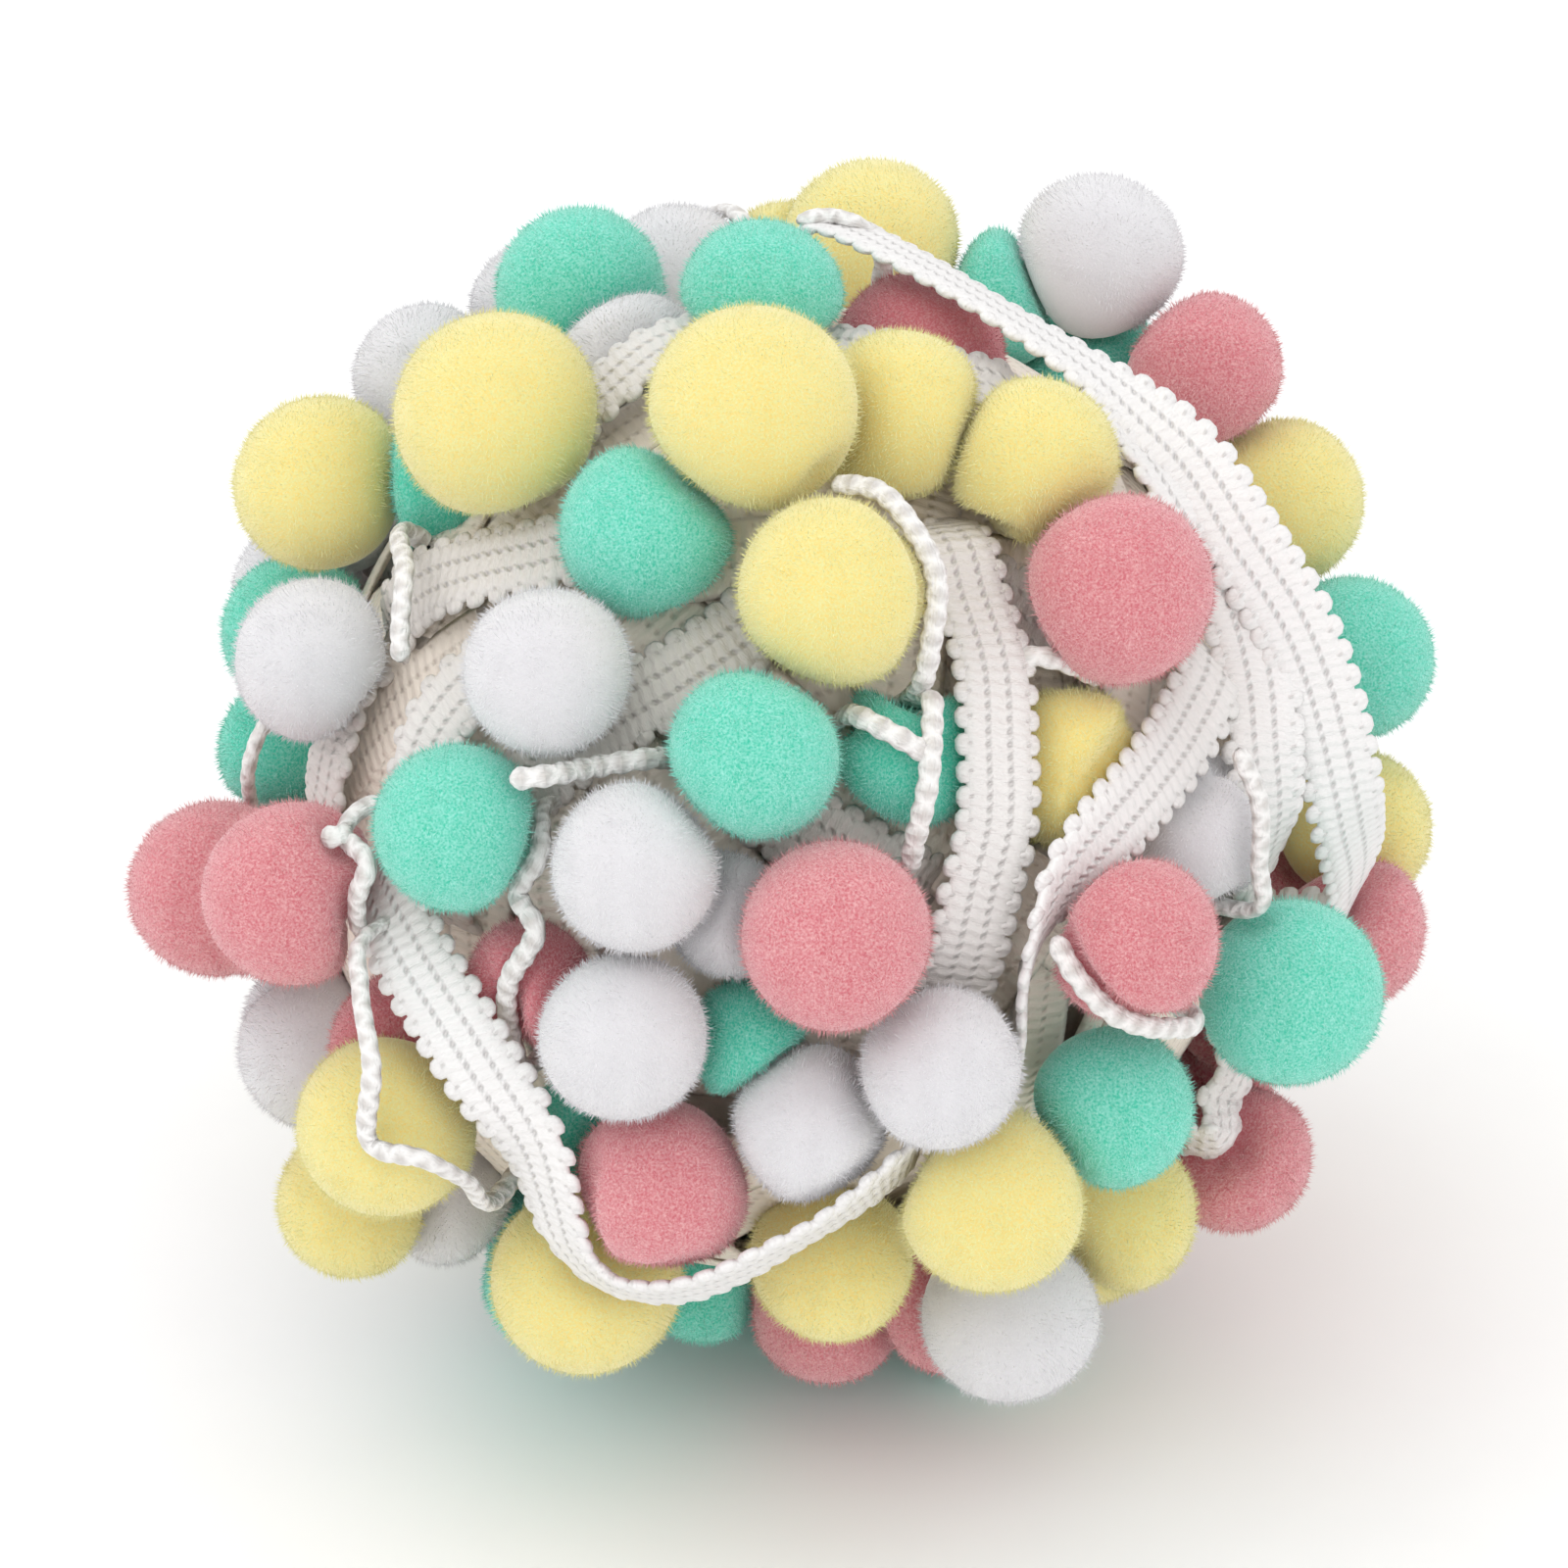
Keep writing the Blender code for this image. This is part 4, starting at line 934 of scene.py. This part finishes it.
# Fibres: each a narrow blade from below the skin, leaning a little off the straight way out,
# partly by chance and partly with its neighbours, which makes tufts.
def pompomFibres(pompom, walls, directions, swell, rng):
    directions = directions @ turnedAbout(rng)
    outward = unit(pompom.middle - ball["middle"])
    directions = directions[directions @ outward > pile["under"]]
    reach = pileReach(directions, pompom.radius, walls, swell)
    free, tight, some = pile["pressed"]
    chance = rng.random(len(reach)) < some
    kept = (reach > pompom.radius * free) | ((reach > pompom.radius * tight) & chance)
    directions, reach = directions[kept], reach[kept]
    count = len(reach)
    side = unit(np.cross(directions, unit(rng.normal(size=(count, 3)))))
    tuft = np.sin(directions[:, (1, 2, 0)] * pile["tufts"] + swell[1])
    lean = np.cross(directions, unit(rng.normal(size=(count, 3))) + tuft) * pile["lean"]
    short, long = pile["length"]
    length = short + (long - short) * rng.random(count) ** 2
    root = pompom.middle + directions * (reach - pile["sink"] - pile["rootDepth"])[:, None]
    tip = root + directions * length[:, None] + lean
    spread = side * pile["width"] / 2
    blades = np.stack([root - spread, root + spread, tip], axis=1)
    tone = np.repeat(rng.random(count) - 0.5, 3)
    corners = np.arange(count * 3).reshape(-1, 3)
    return blades.reshape(-1, 3), corners, np.tile(pile["tips"], count), tone


pompomNodes = [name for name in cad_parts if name.startswith("pompoms_")]
trimNode = "wound_trim"

print("stage: materials")
materials = {}
for colour, look in pileLooks.items():
    materials[colour] = pileMaterial(f"acrylic pile {colour}", look, 0.5)
    materials[f"{colour} fibre"] = pileMaterial(f"acrylic fibre {colour}", look, 0.0)
# eye: painted shade in the stitch holes; shade: painted shade for tape deep in the ball
materials["tape"] = knitMaterial(
    "polyester knit", {"yarn": "#EFEDEC", "eye": "#B4AFAC", "shade": "#D8CFC6", "slant": 0.16,
                       "rib": 0.42, "loop": 0.80, "bump": 0.90})
# a copy for the wound form: its shade colour over all of it is painted shade
materials["deep"] = knitMaterial(
    "polyester knit in the shade", {"yarn": "#FBF8F3", "eye": "#C9BFB3", "shade": "#FAF2E9",
                                    "slant": 0.10, "rib": 0.5, "loop": 0.7, "bump": 0.8})
# eye: painted shade between the plies
materials["cord"] = cordMaterial("braided polyester", {"yarn": "#EEECEA", "eye": "#C8C2BD"})

print("stage: tape")
bands, picots = Heap("knit", "deep"), Heap("knit", "deep")
# deep: how much painted shade the knit gets, by its depth in the ball
for rows in tapeRoutes.values():
    points, quads, caps, knit, line = bandShape(rows)
    bands.add(points, quads, caps, knit=knit, deep=depthOf(points, shade["bands"]))
    points, quads, caps, knit = picotShapes(line)
    picots.add(points, quads, caps, knit=knit, deep=depthOf(points, shade["bands"]))
tapePiece = bands.piece("tape_bands", materials["tape"], "white_tape", [trimNode])
picotPiece = picots.piece("tape_picots", materials["tape"], "white_tape", [trimNode])

print("stage: cords")
samples, clearances = pressingPoints()
pompoms = placedPompoms(samples)
print(len(pompoms), "pompoms")
shown = [cordPoints(*route, cord["step"]) for route in (cordRoutes | fineCords).values()]
hidden = list(farCords(pompoms))
print(len(hidden), "cords on the far side")
cords = Heap("knit", "pit")
for number, route in enumerate(shown + hidden):
    points, quads, caps, knit, pit = cordShape(route, cord["radius"], number)
    cords.add(points, quads, caps, knit=knit, pit=pit)
cords.piece("v_cords", materials["cord"], "white_tape", [trimNode])

print("stage: wound form")
rng = np.random.default_rng(deepTurns["seed"])
deep = Heap("knit", "deep")
directions, quads = patchBall(ball["coreSquares"])
swell = np.sin(directions * 9 + 1).prod(axis=1)
core = ball["coreRadius"] + ball["coreSwell"] * swell
# deep is one all over: the whole wound form takes its material's painted shade
deep.add(ball["middle"] + directions * core[:, None], quads,
         knit=directions * ball["coreRadius"] / mm, deep=np.ones(len(directions)))
for _ in range(deepTurns["turns"]):
    points, quads, knit = deepTurn(rng)
    deep.add(points, quads, knit=knit, deep=np.ones(len(points)))
deep.piece("wound_form", materials["deep"], "white_tape", [trimNode])

print("stage: pompoms")
patches, patchQuads = patchBall(pile["faces"])
fibreDirections = evenDirections(pile["fibres"])
skins = {colour: Heap("tip", "tone") for colour in pileLooks}
fibres = {colour: Heap("tip", "tone") for colour in pileLooks}
rng = np.random.default_rng(pile["seed"])
for index, pompom in enumerate(pompoms):
    walls = pressOn(index, pompoms, samples, clearances)
    swell = turnedAbout(rng), rng.random(3) * 6
    points = pompomSkin(pompom, walls, patches @ turnedAbout(rng), swell)
    # painted shade: the skin darker where it is pressed in, and a deep pompom darker as a whole
    inner = np.linalg.norm(points - pompom.middle, axis=1) / pompom.radius
    darker = shade["tone"] * depthOf(pompom.middle, shade["pompoms"])
    skins[pompom.colour].add(points, patchQuads, tip=np.full(len(points), pile["skinTip"]),
                             tone=np.clip(inner - 1, -1, 0) - darker)
    points, blades, tip, tone = pompomFibres(pompom, walls, fibreDirections, swell, rng)
    fibres[pompom.colour].add(points, None, blades, tip=tip, tone=tone - darker)
for colour in pileLooks:
    nodes = [name for name in pompomNodes if name.startswith(f"pompoms_{colour}_")]
    skins[colour].piece(f"{colour}_pompoms", materials[colour], f"{colour}_pile", nodes)
    fibres[colour].piece(f"{colour}_fibres", materials[f"{colour} fibre"], f"{colour}_pile",
                         nodes, smooth=False)

print("stage: studio")
studio = {
    "floorHalf": 4.0,
    "world": 1.0,
    # place from the ball's middle, width and power of each lamp
    "lights": {"key light": ((-0.50, -0.42, 1.15), 2.0, 7.0),
               "fill light": ((0.5, -1.1, 0.7), 0.9, 2.0)},
    "sensor": 36.0,
}
floorMaterial, tree = newMaterial("matt paper")  # a plain pale sweep under soft light
spot = addNode(tree, "TexCoord").outputs["Object"]
paper = addNode(tree, "TexNoise", {"Scale": 60.0, "Detail": 2.0}, {"Vector": spot})
tint = addNode(tree, "Mix", {"data_type": "RGBA", "A": linear("#F7F7F7"),
                             "B": linear("#FAFAFA")}, {"Factor": paper})
finishMaterial(tree, addNode(tree, "BsdfPrincipled", {"Roughness": 0.9},
                             {"Base Color": tint.outputs["Result"]}))
half = studio["floorHalf"]
floorMesh = bpy.data.meshes.new("floor")
corners = [(-half, -half, 0), (half, -half, 0), (half, half, 0), (-half, half, 0)]
floorMesh.from_pydata(corners, [], [(0, 1, 2, 3)])
floorMesh.materials.append(floorMaterial)
floor = bpy.data.objects.new("floor", floorMesh)
bpy.context.scene.collection.objects.link(floor)
floor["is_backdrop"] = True

world = bpy.data.worlds.new("studio")
bpy.context.scene.world = world
world.use_nodes = True
world.node_tree.nodes["Background"].inputs["Color"].default_value = (1.0, 1.0, 1.0, 1.0)
world.node_tree.nodes["Background"].inputs["Strength"].default_value = studio["world"]


def standAt(thing, place):  # at the place from the ball's middle, with -Z towards it
    thing.location = ball["middle"] + place
    thing.rotation_euler = Vector(-place).to_track_quat("-Z", "Y").to_euler()
    bpy.context.scene.collection.objects.link(thing)


for name, (place, size, power) in studio["lights"].items():
    light = bpy.data.lights.new(name, "AREA")
    light.shape = "DISK"
    light.size, light.energy = size, power
    standAt(bpy.data.objects.new(name, light), np.array(place))

cameraData = bpy.data.cameras.new("camera")
cameraData.sensor_width = studio["sensor"]
cameraData.lens = studio["sensor"] * view["distance"] / (view["frame"] * view["pixel"])
camera = bpy.data.objects.new("camera", cameraData)
standAt(camera, view["distance"] * toward3)
bpy.context.scene.camera = camera
bpy.context.scene.view_settings.view_transform = "Standard"

[[list(map(float, corner)) for corner in box] for box in (cadBox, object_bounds())]
